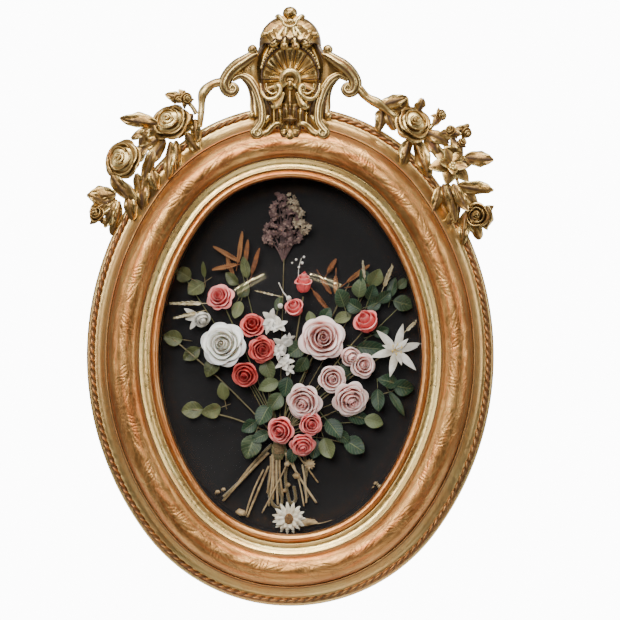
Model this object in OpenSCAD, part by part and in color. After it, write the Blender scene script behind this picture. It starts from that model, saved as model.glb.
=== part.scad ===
// Oval gilt wall frame with a domed glass over a bouquet of wax roses.
// The parts are laid out as on a bench: the frame lies on its back, x to the right, y to the crest,
// z up out of the glass, and z = 0 is the wall. on_wall() then hangs it up, face to -Y and crest to +Z,
// with the origin at the middle of the hanging ring.

/* [Oval] */
// Half width of the sight opening
sight_half_w = 154.5; // [152:0.5:157]
// Distance of the side arcs' centres from the middle
side_centre = 110; // [108:1:112]
// Distance of the end arcs' centres from the middle
end_centre = 82; // [80:1:84]

/* [Moulding] */
// Height of the moulding's rear face above the wall
moulding_base = 42; // [40:1:48]
// Width of the moulding from the sight edge to its outer side
moulding_w = 85.5; // [84:0.5:88]
// Height of the crown of the torus above the moulding's rear face
torus_h = 50; // [46:1:54]
// Width of the slip that frames the glass
slip_w = 22.3; // [21.5:0.1:23]
// Depth of the glass seat above the moulding's rear face
seat_h = 18; // [16:0.5:20]

/* [Glass] */
// Rise of the domed glass above its rim
dome_rise = 48; // [40:1:56]
// Thickness of the glass
glass_t = 2.8; // [2:0.2:4]

/* [Box] */
// Distance of the box's inner wall outside the sight edge
box_in = 14; // [13:0.5:15]
// Thickness of the bent box rim
rim_t = 18; // [16:1:20]
// Depth of the recess for the fittings behind the backboard
recess = 9.5; // [9:0.5:11]
// Thickness of the backboard planks
board_t = 8; // [6:0.5:9]
// Thickness of the velvet-covered card
card_t = 2.5; // [2:0.5:3]

/* [Hanger] */
// Radius of the hanging ring at the middle of its wire
ring_r = 15; // [13:0.5:17]
// Radius of the ring's wire
wire_r = 1.6; // [1.2:0.1:1.8]

/* [Turn buttons] */
// Reach of a turn button inwards from its pivot
button_reach = 32; // [26:1:34]
// Angle of the turn buttons above and below the frame's middle
button_angle = 22; // [16:1:26]

/* [Hidden] */
$fn = 48;
side_r = sight_half_w + side_centre;
centre_gap = norm([side_centre, end_centre]);
end_r = side_r - centre_gap;
sight_half_h = end_centre + end_r;
join_angle = atan2(end_centre, side_centre);
ledge_w = 12;
pivot_d = box_in + 5;
ring_z = 5.5;
oval_below = sight_half_h + pivot_d + ring_r;
glass_z = moulding_base + seat_h;
card_z = recess + board_t;
floor_z = card_z + card_t;
rebate_d = 9;
rope_d = 78.3;
rope_r = 3.4;
rope_h = 18.5;
screw_r = 1.9;
gap = 0.2;
hairline = 0.01;
gilt = "goldenrod";

// ---------- shared shapes ----------

module on_wall() translate([0, ring_z, -oval_below]) rotate([90, 0, 0]) children();

// One arc of the oval: n = 0 right, 1 top, 2 left, 3 bottom. Children: profile in (outward, up).
// Strips are cut shorter than the arc by the angle "short", which leaves hairline butt joints.
module oval_arc(n, short = 0) {
    end = n % 2 == 1;
    half = (end ? 90 - join_angle : join_angle) - short / 2;
    centre = end ? [0, (2 - n) * end_centre, 0] : [(n - 1) * side_centre, 0, 0];
    translate(centre) rotate([0, 0, n * 90 - half])
        rotate_extrude(angle = 2 * half, $fn = 180) translate([end ? end_r : side_r, 0]) children();
}

module oval_ring(short = 0) for (n = [0:3]) oval_arc(n, short) children();

// Points of the oval at a distance d outside the sight edge.
function arc_pts(c, r, from, to, n) =
    [for (i = [0:n - 1]) let (a = from + (to - from) * i / n) c + r * [cos(a), sin(a)]];
function oval_pts(d) = let (j = join_angle) concat(
    arc_pts([-side_centre, 0], side_r + d, -j, j, 12),
    arc_pts([0, end_centre], end_r + d, j, 180 - j, 18),
    arc_pts([side_centre, 0], side_r + d, 180 - j, 180 + j, 12),
    arc_pts([0, -end_centre], end_r + d, 180 + j, 360 - j, 18));

module oval_plate(d, t) linear_extrude(t) polygon(oval_pts(d));

// Places children on the right or left side arc: x outward at distance d from the sight edge.
module on_side(right, angle, d) mirror([right ? 0 : 1, 0, 0])
    translate([-side_centre, 0, 0]) rotate([0, 0, angle]) translate([side_r + d, 0, 0]) children();

module wood_screw(length) {
    cylinder(r1 = 3.1, r2 = screw_r, h = 1.6);
    translate([0, 0, 1.5]) cylinder(r = screw_r, h = length - 4.5);
    translate([0, 0, length - 3]) cylinder(r1 = screw_r, r2 = 0.4, h = 3);
}

// Countersunk hole for a wood screw.
module screw_hole() translate([0, 0, -0.3]) {
    cylinder(r = screw_r + 0.05, h = 46);
    cylinder(r1 = 3.5, r2 = screw_r + 0.1, h = 1.9);
}

// Outline of a leaf, its stalk end at the origin and its tip along +x: two arcs of radius r.
function leaf_pts(l, w, n = 6) = let (r = (l * l + w * w) / (4 * w), a = asin(l / 2 / r)) concat(
    [for (i = [0:n]) let (b = -a + 2 * a * i / n) [l / 2 + r * sin(b), r * cos(b) - r + w / 2]],
    [for (i = [n - 1:-1:1]) let (b = -a + 2 * a * i / n) [l / 2 + r * sin(b), r - r * cos(b) - w / 2]]);
module leaf(l, w, t = 1.6) linear_extrude(t) polygon(leaf_pts(l, w));

// A bar between two points, as a prism of six sides.
module bar(a, b, r) {
    v = b - a;
    translate(a) rotate([0, acos(v[2] / norm(v)), atan2(v[1], v[0])]) cylinder(r = r, h = norm(v), $fn = 6);
}

module bar_path(points, r) for (i = [1:len(points) - 1]) bar(points[i - 1], points[i], r);

// A rose as a turned bud of radius r and height h, with a dimple in the middle.
module rose(r, h) rotate_extrude() polygon(concat(
    [[0, 0], [0.34 * r, 0]],
    [for (a = [-60:20:80]) [0.62 * r + 0.38 * r * cos(a), 0.52 * h + 0.44 * h * sin(a)]],
    [[0.4 * r, 0.86 * h], [0, 0.8 * h]]));

// ---------- moulding ----------

// Section of the torus, an ellipse quarter either side of its crown, grown by g.
function torus_points(g = 0) = concat(
    [for (a = [84:-7:0]) [40 - (17.4 + g) * sin(a), 36 + (torus_h - 36 + g) * cos(a)]],
    [for (a = [7:7:84]) [40 + (19.6 + g) * sin(a), 26 + (torus_h - 26 + g) * cos(a)]]);
scotia_points = [for (u = [0:0.125:1]) [62.4 + 12.3 * u, rope_h + 10 * pow(1 - u, 2)]];

// Profile from the glass rebate, over the torus, fillet and scotia to the outer side.
module moulding_profile() polygon(concat(
    [[rebate_d, 0], [rebate_d, seat_h], [slip_w, seat_h], [slip_w, 36]],
    torus_points(),
    [[59.8, 27.5], [60.3, 29.6], [61.2, 30], [62.2, 29.4]],
    scotia_points,
    [[81.9, rope_h], [84, 17], [85.2, 14.6], [moulding_w, 12], [moulding_w, 9.5], [82, 0]]));

module rope_profile() translate([rope_d, rope_h])
    polygon([for (a = [0:15:180]) rope_r * [cos(a), sin(a)]]);

module slip_profile() polygon(concat(
    [[0, seat_h], [0, 29.2]],
    [for (a = [180:-18:0]) [4.4 + 4.3 * cos(a), 29.2 + 4 * sin(a)]],
    [[9.1, 28.4], [9.9, 28.4], [10.3, 31.4]],
    [for (u = [0:0.125:1]) [10.7 + 11.4 * u, 31.6 + 2.6 * u - 2.2 * sin(180 * u)]],
    [[slip_w - gap / 2, 34], [slip_w - gap / 2, seat_h]]));

module spline_pocket(grow)
    for (n = [0:3]) let (a = [join_angle, 180 - join_angle, 180 + join_angle, -join_angle][n])
    translate([0, n < 2 ? end_centre : -end_centre, moulding_base])
        rotate([0, 0, a]) translate([end_r + 60, 0, 3])
            cube([14 + grow, 38 + grow, 6 + 2 * grow], center = true);

module box_screw_places() for (right = [true, false], a = [-31, 0, 31])
    on_side(right, a, box_in + 8) translate([0, 0, recess + 0.2]) children();

module moulding_piece(n) difference() {
    translate([0, 0, moulding_base]) oval_arc(n) moulding_profile();
    spline_pocket(0.1);
    box_screw_places() cylinder(r = screw_r + 0.05, h = 46);
    if (n == 1) crest_screw_places() screw_hole();
}

module frame_top() color(gilt) on_wall() moulding_piece(1);
module frame_bottom() color(gilt) on_wall() moulding_piece(3);
module frame_left() color(gilt) on_wall() moulding_piece(2);
module frame_right() color(gilt) on_wall() moulding_piece(0);
module joint_splines() color("burlywood") on_wall() spline_pocket(0);
module rope_edge() color("darkgoldenrod") on_wall() translate([0, 0, moulding_base])
    oval_ring(hairline) rope_profile();
module sight_slip() color("peru") on_wall() translate([0, 0, moulding_base])
    oval_ring(hairline) slip_profile();

// ---------- glass ----------

dome_r = sight_half_w - 1;
dome_stretch = (sight_half_h + 7) / (sight_half_w + 7);
function dome_at(x) = dome_rise * pow(max(0, 1 - pow(x / dome_r, 2.3)), 0.8);
dome_rings = 12;
dome_x = [for (i = [0:dome_rings]) dome_r * sin(90 * i / dome_rings)];

// A turned dome with a flat rim, stretched lengthways to the oval.
module glass_dome() color("lightcyan", 0.35) on_wall() translate([0, 0, glass_z]) scale([1, dome_stretch, 1])
    rotate_extrude($fn = 80) polygon(concat(
        [for (x = dome_x) [x, dome_at(x)]],
        [[sight_half_w + 7, 0], [sight_half_w + 7, -glass_t]],
        [for (i = [dome_rings:-1:0]) [dome_x[i] * (1 - glass_t / dome_r), dome_at(dome_x[i]) - glass_t]]));

module glass_packing() color("saddlebrown") on_wall() translate([0, 0, moulding_base]) oval_ring(hairline)
    translate([3.2, 1]) square([5.4, seat_h - glass_t - 1 - gap]);

// ---------- box behind the frame ----------

module box_rim() color("tan") on_wall() difference() {
    oval_ring() polygon([[box_in, recess], [box_in + ledge_w, recess], [box_in + ledge_w, 0],
        [box_in + rim_t, 0], [box_in + rim_t, moulding_base], [box_in, moulding_base]]);
    translate([-36, sight_half_h + 8, -1]) cube([72, 40, recess + 1]);
    box_screw_places() screw_hole();
    for (right = [true, false], a = [-button_angle, button_angle]) on_side(right, a, pivot_d)
        translate([0, 0, recess - 1]) cylinder(r = 1.55, h = 14);
    for (x = [-1, 1]) translate([x * 23, hanger_y, recess - 1]) cylinder(r = 1.55, h = 14);
}

module box_lining() color("black") on_wall() translate([0, 0, card_z]) oval_ring(hairline)
    translate([box_in - 1.1, 0]) square([1, moulding_base - card_z - gap]);

module velvet_ground() color("midnightblue") on_wall() translate([0, 0, card_z])
    oval_plate(box_in - 1.3, card_t);

module plank(x0, x1) color("burlywood") on_wall() translate([0, 0, recess]) intersection() {
    oval_plate(box_in - gap, board_t);
    translate([x0, -300, 0]) cube([x1 - x0, 600, board_t]);
}
module backboard_left() plank(-200, -52);
module backboard_middle() plank(-51.8, 51.8);
module backboard_right() plank(52, 200);

module box_screws() color("dimgray") on_wall() box_screw_places() wood_screw(44);

// ---------- turn buttons ----------

module round_head_screw(length) {
    translate([0, 0, -1.8]) cylinder(r = 3.2, h = 1.7);
    translate([0, 0, -0.2]) cylinder(r = 1.5, h = length);
}

// Brass strip on its pivot: long end inwards, short tail outwards.
module turn_button(right, angle) color("gold") on_wall() on_side(right, angle, pivot_d)
    translate([0, 0, recess - 2.3]) difference() {
        union() {
            cylinder(r = 4.5, h = 2);
            translate([-button_reach + 4, -4.5, 0]) cube([button_reach - 4, 9, 2]);
            translate([-button_reach + 4.5, 0, 0]) cylinder(r = 4.5, h = 2);
        }
        translate([0, 0, -1]) cylinder(r = 1.55, h = 4);
    }
module turn_button_1() turn_button(true, button_angle);
module turn_button_2() turn_button(true, -button_angle);
module turn_button_3() turn_button(false, button_angle);
module turn_button_4() turn_button(false, -button_angle);

module turn_button_screws() color("darkgoldenrod") on_wall()
    for (right = [true, false], a = [-button_angle, button_angle]) on_side(right, a, pivot_d)
        translate([0, 0, recess - 2.4]) round_head_screw(14);

// ---------- hanging ring ----------

hanger_y = sight_half_h + pivot_d;

module hanger_plate() color("dimgray") on_wall() translate([0, hanger_y, 0]) difference() {
    union() {
        translate([-24, -5.5, recess - 1.8]) cube([48, 11, 1.7]);
        for (x = [-1, 1]) translate([x * 24, 0, recess - 1.8]) cylinder(r = 5.5, h = 1.7);
        translate([-3, 0, ring_z]) rotate([0, 90, 0]) cylinder(r = 3.4, h = 6);
    }
    translate([-4, 0, ring_z]) rotate([0, 90, 0]) cylinder(r = wire_r + 0.55, h = 8);
    for (x = [-1, 1]) translate([x * 23, 0, recess - 3]) cylinder(r = 1.55, h = 4);
}

module hanger_screws() color("gray") on_wall() for (x = [-1, 1])
    translate([x * 23, hanger_y, recess - 1.9]) round_head_screw(13);

module hanger_ring() color("silver") rotate([90, 0, 0])
    rotate_extrude($fn = 96) translate([ring_r, 0]) circle(r = wire_r, $fn = 24);

// ---------- crest ----------

crest_z = 62;
crest_top = 84;
fan_y = 322;
arm_z = 74;

// Section of the moulding and its rope, grown by the gap: what the ornament is cut to sit on.
module seat_profile() polygon(concat(
    [[24, 0], [24, 36]], torus_points(gap),
    [[60.6, 30.3], [62.6, 29.8]], [for (p = scotia_points) p + [gap, gap]],
    [[75, rope_h + rope_r + gap], [81.8, rope_h + rope_r + gap], [82.5, rope_h + gap], [84.4, 17],
    [moulding_w + gap, 12], [moulding_w + gap, 9], [82, 0]]));
module moulding_seat(n) translate([0, 0, moulding_base]) oval_arc(n) seat_profile();

module crest_screw_places() for (x = [-15, 15]) translate([x, 281, moulding_base + 0.2]) children();
module crest_screws() color("dimgray") on_wall() crest_screw_places() wood_screw(34);

module crest_cartouche() color(gilt) on_wall() difference() {
    translate([0, 0, crest_z]) linear_extrude(crest_top - crest_z) union() {
        translate([0, fan_y]) circle(r = 38);
        translate([-32, 265]) square([64, 60]);
        translate([0, 350]) circle(r = 36);
    }
    moulding_seat(1);
    crest_screw_places() screw_hole();
}

// Fan of ribs round a boss, hollowed between the ribs.
module crest_shell() color("gold") on_wall() translate([0, fan_y, crest_top + gap]) {
    cylinder(r = 36, h = 3);
    for (a = [-30:24:210]) rotate([0, 0, a]) translate([14, 0, 5]) rotate([0, 90, 0])
        cylinder(r1 = 1.5, r2 = 4.6, h = 20);
    cylinder(r = 12, h = 7);
    translate([0, 0, 6]) sphere(r = 6);
}

// Acanthus hood: the upper half of a low dome over the fan.
module crest_hood() color(gilt) on_wall() translate([0, 362, crest_top + gap]) intersection() {
    rotate_extrude() polygon(concat([[0, 0], [34, 0]], [for (a = [0:10:90]) [34 * cos(a), 4 + 10 * sin(a)]]));
    translate([-40, 0, -1]) cube([80, 40, 20]);
}

module crest_finial() color(gilt) on_wall() translate([0, 400, arm_z]) {
    sphere(r = 8.2);
    translate([0, -13.8, 0]) rotate([-90, 0, 0]) cylinder(r = 5, h = 8);
}

// Scroll arm with a ball at its shoulder and an eyed volute at its end.
module crest_arm() translate([0, 0, arm_z]) {
    translate([42.6, 360, 0]) sphere(r = 6);
    bar_path([[36.8, 348, 0], [54, 348, 0], [68, 338, 0], [76, 322, 0]], 4.5);
    translate([69, 315, 0]) rotate_extrude() translate([7.5, 0]) circle(r = 4, $fn = 24);
}
module crest_arm_right() color(gilt) on_wall() crest_arm();
module crest_arm_left() color(gilt) on_wall() mirror([1, 0, 0]) crest_arm();

module crest_palmette() color("gold") on_wall() difference() {
    translate([0, 0, crest_top + gap]) linear_extrude(12) union() {
        translate([0, 266]) circle(r = 11);
        translate([-7, 266]) square([14, 19]);
        for (x = [-26, 26]) translate([x, 266]) circle(r = 9);
        translate([-26, 262]) square([52, 8]);
    }
    moulding_seat(1);
}

// ---------- gilt garlands ----------

garland_z = 62;
gilt_leaf_t = 5;
gilt_top = garland_z + gilt_leaf_t + gap;

module garland_stem_left() color(gilt) on_wall()
    bar_path([[-84, 318, 73], [-94, 314, 73], [-105, 303, 73], [-107, 290, 73], [-111, 282, 73]], 4.2);
module garland_stem_right() color(gilt) on_wall()
    bar_path([[84, 312, 73], [92, 301, 73], [104, 294, 73], [118, 284, 73]], 4.2);

module gilt_rose(x, y, r, h) color(gilt) on_wall() translate([x, y, gilt_top]) rose(r, h);
module gilt_rose_left_upper() gilt_rose(-139, 268, 18, 21);
module gilt_rose_left_lower() gilt_rose(-199, 229, 17, 20);
module gilt_rose_right() gilt_rose(147, 270, 18, 21);
module gilt_lily_right() gilt_rose(189, 222, 19, 16);

// Leaves as [x, y, turn, length, width], cut to sit on the moulding's outer edge.
module gilt_leaves(leaves, side_arc) difference() {
    for (p = leaves) translate([p[0], p[1], garland_z]) rotate([0, 0, p[2]]) leaf(p[3], p[4], gilt_leaf_t);
    moulding_seat(1);
    moulding_seat(side_arc);
}
module gilt_leaves_left() color(gilt) on_wall() gilt_leaves([[-148, 268, 176, 48, 15],
    [-140, 262, 255, 50, 16], [-158, 258, 235, 42, 17], [-180, 240, 20, 44, 18], [-198, 218, 285, 38, 16],
    [-200, 226, 250, 44, 14], [-196, 232, 300, 52, 13], [-213, 184, 282, 44, 12], [-134, 278, 60, 26, 14]], 2);
module gilt_leaves_right() color(gilt) on_wall() gilt_leaves([[112, 286, 28, 31, 13], [118, 284, -60, 30, 13],
    [140, 270, 190, 30, 14], [150, 262, -70, 50, 16], [158, 262, -55, 48, 14], [190, 212, -30, 50, 16],
    [188, 214, -80, 54, 13], [190, 212, -62, 56, 14], [214, 175, -100, 44, 13], [180, 240, 50, 30, 12]], 0);

// Buds and small flowers as [x, y, radius].
module gilt_buds(list) for (p = list) translate([p[0], p[1], gilt_top + p[2]]) sphere(r = p[2]);
module gilt_buds_left() color(gilt) on_wall() gilt_buds([[-124, 296, 7], [-221, 180, 9]]);
module gilt_buds_right() color(gilt) on_wall()
    gilt_buds([[176, 270, 7], [190, 255, 7], [203, 264, 6], [222, 168, 11]]);

// ---------- bouquet ----------

tie = [-14, -112, 27];
leaf_z = 30;
flower_z = 36;

// Each rose is [x, y, radius, height].
white = [-80, 12, 22, 26];
blush_large = [36, 19, 22, 27];
blush = [[67, 2, 12, 21], [86, -13, 12, 23], [47, -28, 13, 25], [71, -50, 17, 24], [19, -53, 17, 30]];
red = [[-44, 33, 12, 20], [-34, 9, 11.5, 23], [-53, -20, 14, 24]];
coral = [[-81, 67, 15, 24], [-9, -88, 14, 34], [23, -83, 12, 33], [16, -107, 11.5, 30]];
buds = [[95, 41, 12, 20], [14, 83, 9, 16], [7, 54, 9, 18]];

module roses(list) on_wall() for (p = list) translate([p[0], p[1], flower_z]) rose(p[2], p[3]);
module rose_white() color("ivory") roses([white]);
module rose_blush_large() color("pink") roses([blush_large]);
module blush_roses() color("lightpink") roses(blush);
module red_roses() color("firebrick") roses(red);
module coral_roses() color("indianred") roses(coral);
module rosebuds() color("palevioletred") roses(buds);

module star(p, r, n, w) translate([p[0], p[1], flower_z]) {
    for (i = [0:n - 1]) rotate([0, 0, 360 * i / n + p[2]]) leaf(r, w, 2);
    cylinder(r = 0.3 * r, h = 6);
}
module lily() color("white") on_wall() star([125, 7, 10], 25, 6, 8);
module bellflower() color("white") on_wall() translate([-105, 46, flower_z])
    cylinder(r1 = 3, r2 = 8, h = 12);
module jasmine() color("snow") on_wall()
    for (p = [[-18, 44, 0], [-9, 24, 30], [-9, -5, 60]]) star(p, 11, 5, 7);

// Leaves in pairs and threes along each side: [x, y, turn, length, width].
leaf_list = [
    [-120, 88, 150, 22, 19], [-104, 82, 215, 24, 20], [-104, 88, 90, 22, 7], [-128, 22, 150, 24, 20],
    [-112, 8, 235, 22, 17], [-92, -8, 240, 22, 18], [-50, 96, 115, 30, 17], [-64, 96, 160, 26, 16],
    [-50, 72, 40, 26, 18], [-56, 60, 250, 24, 13], [-78, -34, 85, 24, 15], [-98, -64, 195, 30, 20],
    [-86, -56, 215, 24, 18], [-32, -8, 290, 24, 20], [-26, -26, 260, 26, 22], [-12, -30, 230, 30, 18],
    [-30, -56, 300, 30, 22], [-42, -74, 215, 28, 22], [-36, -92, 240, 34, 22], [-24, -84, 240, 26, 18],
    [10, 8, 215, 26, 20], [16, -2, 240, 24, 18], [56, 76, 200, 24, 22], [78, 84, 200, 26, 22],
    [74, 66, 230, 24, 22], [60, 50, 230, 22, 20], [100, 92, 60, 24, 20], [98, 74, 80, 22, 18],
    [92, 60, 30, 22, 18], [124, 78, 90, 24, 18], [138, 80, 70, 20, 12], [128, 70, -40, 28, 22],
    [84, 18, -20, 34, 20], [112, -38, 10, 32, 26], [104, -44, -90, 28, 18], [118, -42, -55, 36, 12],
    [44, -72, -60, 34, 26], [60, -76, -30, 36, 22], [82, -72, -10, 30, 18], [64, -96, -25, 28, 18],
    [40, -100, -70, 26, 19], [30, -104, -90, 24, 18]];
module rose_leaves() color("darkolivegreen") on_wall() for (i = [0:len(leaf_list) - 1]) let (p = leaf_list[i])
    translate([p[0], p[1], leaf_z + (i % 3) * 1.2]) rotate([0, 0, p[2]]) leaf(p[3], p[4], 1.5);

// Stems leave the tie side by side and fan out behind the leaves: [x, y] of their far ends.
stem_ends = [[-104, 78], [-96, 30], [-52, 70], [-8, 96], [36, 60], [84, 70], [112, -20], [60, -66]];
module main_stem(i) let (x = tie[0] - 3.5 + i) bar_path([
    [x, tie[1] - 14, tie[2] + 1.3 * (i % 2)], [x, tie[1] + 12, tie[2] + 1.3 * (i % 2)],
    [stem_ends[i][0], stem_ends[i][1], tie[2]]], 0.45);
module wire_stems() color("olivedrab") on_wall() {
    for (p = concat([white, blush_large], blush, red, coral, buds))
        translate([p[0], p[1], floor_z]) cylinder(r = 0.8, h = flower_z - floor_z);
    for (i = [0:len(stem_ends) - 1]) main_stem(i);
}

// Thread wound round the gathered stems.
module stem_binding() color("saddlebrown") on_wall() translate(tie + [0, 6, 0.6]) rotate([90, 0, 0])
    difference() {
        cylinder(r = 6.4, h = 14);
        translate([0, 0, -1]) cylinder(r = 5.2, h = 16);
    }

// Flattened loops of gold chenille cord: [x, y, width, length].
module lace_ribbon() color("darkkhaki") on_wall()
    for (p = [[-21, -184, 6, 58], [-11, -186, 5, 60], [15, -172, 4, 46]])
        translate([p[0], p[1], floor_z + 0.4]) cube([p[2], p[3], 2]);

// Each frond is a fan of narrow leaflets: [x, y, turn].
module frond(p, n) translate([p[0], p[1], floor_z + 0.3]) rotate([0, 0, p[2]])
    for (i = [0:n - 1]) rotate([0, 0, (i - (n - 1) / 2) * 32]) translate([4, 0, 0]) leaf(32, 6, 1.4);
module fern_fronds() color("sienna") on_wall() {
    frond([-66, 108, 130], 5);
    frond([-44, 98, 78], 3);
    frond([36, 70, 75], 4);
    frond([70, 88, 45], 2);
}

module catkin(p) translate([p[0], p[1], flower_z + 2]) rotate([0, 0, p[2]]) rotate([0, 90, 0])
    cylinder(r1 = 2.6, r2 = 0.8, h = p[3]);
module catkins() color("wheat") on_wall() for (p = [[-104, 63, 180, 42], [-118, 50, 195, 26], [86, 98, 98, 20],
    [112, 86, 72, 28], [134, 30, 38, 22]]) catkin(p);

// Heads of the spray as [x, y, radius], each clear of the next.
spray_heads = [[-4, 190, 7], [-12, 177, 7], [5, 176, 8], [-18, 161, 8], [-1, 160, 8], [16, 160, 7],
    [-21, 144, 8], [-4, 143, 8], [13, 144, 8]];
module dried_spray() color("rosybrown") on_wall() {
    for (p = spray_heads) translate([p[0], p[1], floor_z + 1 + p[2]]) sphere(r = p[2]);
    bar([-5, 134, floor_z + 6], [-10, 114, floor_z + 3], 1.6);
}

module straw_daisy() color("cornsilk") on_wall() translate([-4, -188, floor_z + 12]) {
    for (i = [0:11]) rotate([0, 0, 30 * i]) leaf(17, 5.5, 1.2);
    cylinder(r = 4.5, h = 4);
}

module straw_and_seeds() color("khaki") on_wall() {
    bar([-35, -120, floor_z + 2.4], [-84, -168, floor_z + 2.4], 2.2);
    bar([-28, -124, floor_z + 2], [-54, -194, floor_z + 2], 1.4);
    bar([-24.5, -128, floor_z + 2], [-27, -178, floor_z + 2], 1.4);
    bar([14, -122, floor_z + 6], [38, -176, floor_z + 6], 1.4);
    bar([22, -134, floor_z + 2], [38, -156, floor_z + 2], 0.8);
    bar([16, -200, floor_z + 4], [44, -198, floor_z + 4], 3);
    for (p = [[-58, -188, 5], [2, -130, 3], [8, -142, 4], [30, -124, 4], [98, -152, 3]])
        translate([p[0], p[1], floor_z + p[2] + 0.4]) sphere(r = p[2]);
}

// ---------- nodes ----------

frame_top();
frame_bottom();
frame_left();
frame_right();
joint_splines();
rope_edge();
sight_slip();
glass_dome();
glass_packing();
box_rim();
box_lining();
velvet_ground();
backboard_left();
backboard_middle();
backboard_right();
box_screws();
turn_button_1();
turn_button_2();
turn_button_3();
turn_button_4();
turn_button_screws();
hanger_plate();
hanger_screws();
hanger_ring();
crest_cartouche();
crest_shell();
crest_hood();
crest_finial();
crest_arm_left();
crest_arm_right();
crest_palmette();
crest_screws();
garland_stem_left();
garland_stem_right();
gilt_rose_left_upper();
gilt_rose_left_lower();
gilt_rose_right();
gilt_lily_right();
gilt_leaves_left();
gilt_leaves_right();
gilt_buds_left();
gilt_buds_right();
rose_white();
rose_blush_large();
blush_roses();
red_roses();
coral_roses();
rosebuds();
lily();
bellflower();
jasmine();
rose_leaves();
wire_stems();
stem_binding();
lace_ribbon();
fern_fronds();
catkins();
dried_spray();
straw_daisy();
straw_and_seeds();
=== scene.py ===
import math
import random

import bpy
import numpy as np
from mathutils import Matrix, Vector


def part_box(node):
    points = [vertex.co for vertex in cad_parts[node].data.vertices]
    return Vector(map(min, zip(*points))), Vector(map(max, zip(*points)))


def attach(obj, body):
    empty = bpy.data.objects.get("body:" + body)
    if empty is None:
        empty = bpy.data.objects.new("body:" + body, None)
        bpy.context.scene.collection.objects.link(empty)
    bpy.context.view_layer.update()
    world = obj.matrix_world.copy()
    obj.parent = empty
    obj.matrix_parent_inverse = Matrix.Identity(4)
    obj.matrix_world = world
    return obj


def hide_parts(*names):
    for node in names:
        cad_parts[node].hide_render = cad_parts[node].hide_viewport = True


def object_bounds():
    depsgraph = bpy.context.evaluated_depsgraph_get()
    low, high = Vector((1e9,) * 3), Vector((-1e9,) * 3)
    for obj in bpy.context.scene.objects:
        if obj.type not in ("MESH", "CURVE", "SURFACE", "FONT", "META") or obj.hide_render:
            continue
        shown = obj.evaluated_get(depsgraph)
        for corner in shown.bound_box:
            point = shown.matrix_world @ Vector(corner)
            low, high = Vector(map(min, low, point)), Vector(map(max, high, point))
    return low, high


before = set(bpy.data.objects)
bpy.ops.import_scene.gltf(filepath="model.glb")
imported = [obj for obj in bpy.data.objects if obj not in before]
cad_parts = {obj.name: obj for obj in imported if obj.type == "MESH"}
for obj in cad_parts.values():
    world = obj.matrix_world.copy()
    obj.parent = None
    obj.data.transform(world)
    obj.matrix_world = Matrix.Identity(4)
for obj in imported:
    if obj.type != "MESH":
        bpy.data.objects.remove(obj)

CAD_BOUNDS = [list(corner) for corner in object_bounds()]
TAU = 2 * math.pi

# ---------------------------------------------------------------- layout
# Shapes are laid out in millimetres as on a bench: x right, y to the crest, z out of the wall, and
# the middle of the oval at x = y = 0. to_row() hangs them up in the row's frame, in metres.

MM = 0.001
slip_low, slip_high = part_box("sight_slip")
rim_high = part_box("box_rim")[1]
OVAL_X = (slip_low[0] + slip_high[0]) / 2
OVAL_Z = (slip_low[2] + slip_high[2]) / 2
WALL_Y = rim_high[1]

SIDE_CENTRE = 110.0                      # the four arcs of the oval: centres of the side arcs
END_CENTRE = 82.0                        # and of the end arcs
SLIP_W = 22.3
SIGHT_HALF_W = (slip_high[0] - slip_low[0]) / 2 / MM - SLIP_W + 0.1
SIDE_R = SIGHT_HALF_W + SIDE_CENTRE
END_R = SIDE_R - math.hypot(SIDE_CENTRE, END_CENTRE)
SIGHT_HALF_H = END_CENTRE + END_R
JOIN = math.atan2(END_CENTRE, SIDE_CENTRE)
MOULDING_Z = 42.0                        # rear face of the moulding
SEAT_Z = 60.0                            # glass seat
MOULDING_W = 85.5


def to_row(points):
    p = np.asarray(points, float)
    out = np.empty_like(p)
    out[..., 0] = OVAL_X + p[..., 0] * MM
    out[..., 1] = WALL_Y - p[..., 2] * MM
    out[..., 2] = OVAL_Z + p[..., 1] * MM
    return out


def smooth(edge0, edge1, x):
    t = np.clip((x - edge0) / (edge1 - edge0), 0, 1)
    return t * t * (3 - 2 * t)


# ---------------------------------------------------------------- mesh soup

class Soup:
    """Gathers grids of points into one mesh, with number attributes on its points."""

    def __init__(self):
        self.points, self.faces, self.values, self.count = [], [], [], 0

    def grid(self, p, wrap_u=False, wrap_v=False, **values):
        p = np.asarray(p, float)
        nu, nv = p.shape[:2]
        index = self.count + np.arange(nu * nv).reshape(nu, nv)
        rows = np.vstack([index, index[:1]]) if wrap_u else index
        cells = np.hstack([rows, rows[:, :1]]) if wrap_v else rows
        quads = np.stack([cells[:-1, :-1], cells[1:, :-1], cells[1:, 1:], cells[:-1, 1:]], -1)
        self.points.append(p.reshape(-1, 3))
        self.faces += quads.reshape(-1, 4).tolist()
        self.values.append({k: np.broadcast_to(np.asarray(v, float), (nu, nv)).ravel() for k,
                            v in values.items()})
        self.count += nu * nv
        return index

    def cap(self, loop, flip=False):
        loop = list(loop)
        self.faces.append([int(i) for i in (loop[::-1] if flip else loop)])

    def object(self, name, material, body="frame", stands_for=(), slot=None, hollows=False):
        mesh = bpy.data.meshes.new(name)
        points = to_row(np.vstack(self.points))
        mesh.from_pydata(points.tolist(), [], self.faces)
        for key in sorted({k for v in self.values for k in v}):
            layer = mesh.attributes.new(key, "FLOAT", "POINT")
            data = [v.get(key, np.zeros(len(p))) for v, p in zip(self.values, self.points)]
            layer.data.foreach_set("value", np.concatenate(data).astype(np.float32))
        mesh.polygons.foreach_set("use_smooth", [True] * len(mesh.polygons))
        mesh.update()
        if hollows:
            mark_hollows(mesh)
        piece = bpy.data.objects.new(name, mesh)
        bpy.context.scene.collection.objects.link(piece)
        piece.data.materials.append(material)
        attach(piece, body)
        if stands_for:
            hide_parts(*stands_for)
        return piece


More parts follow.
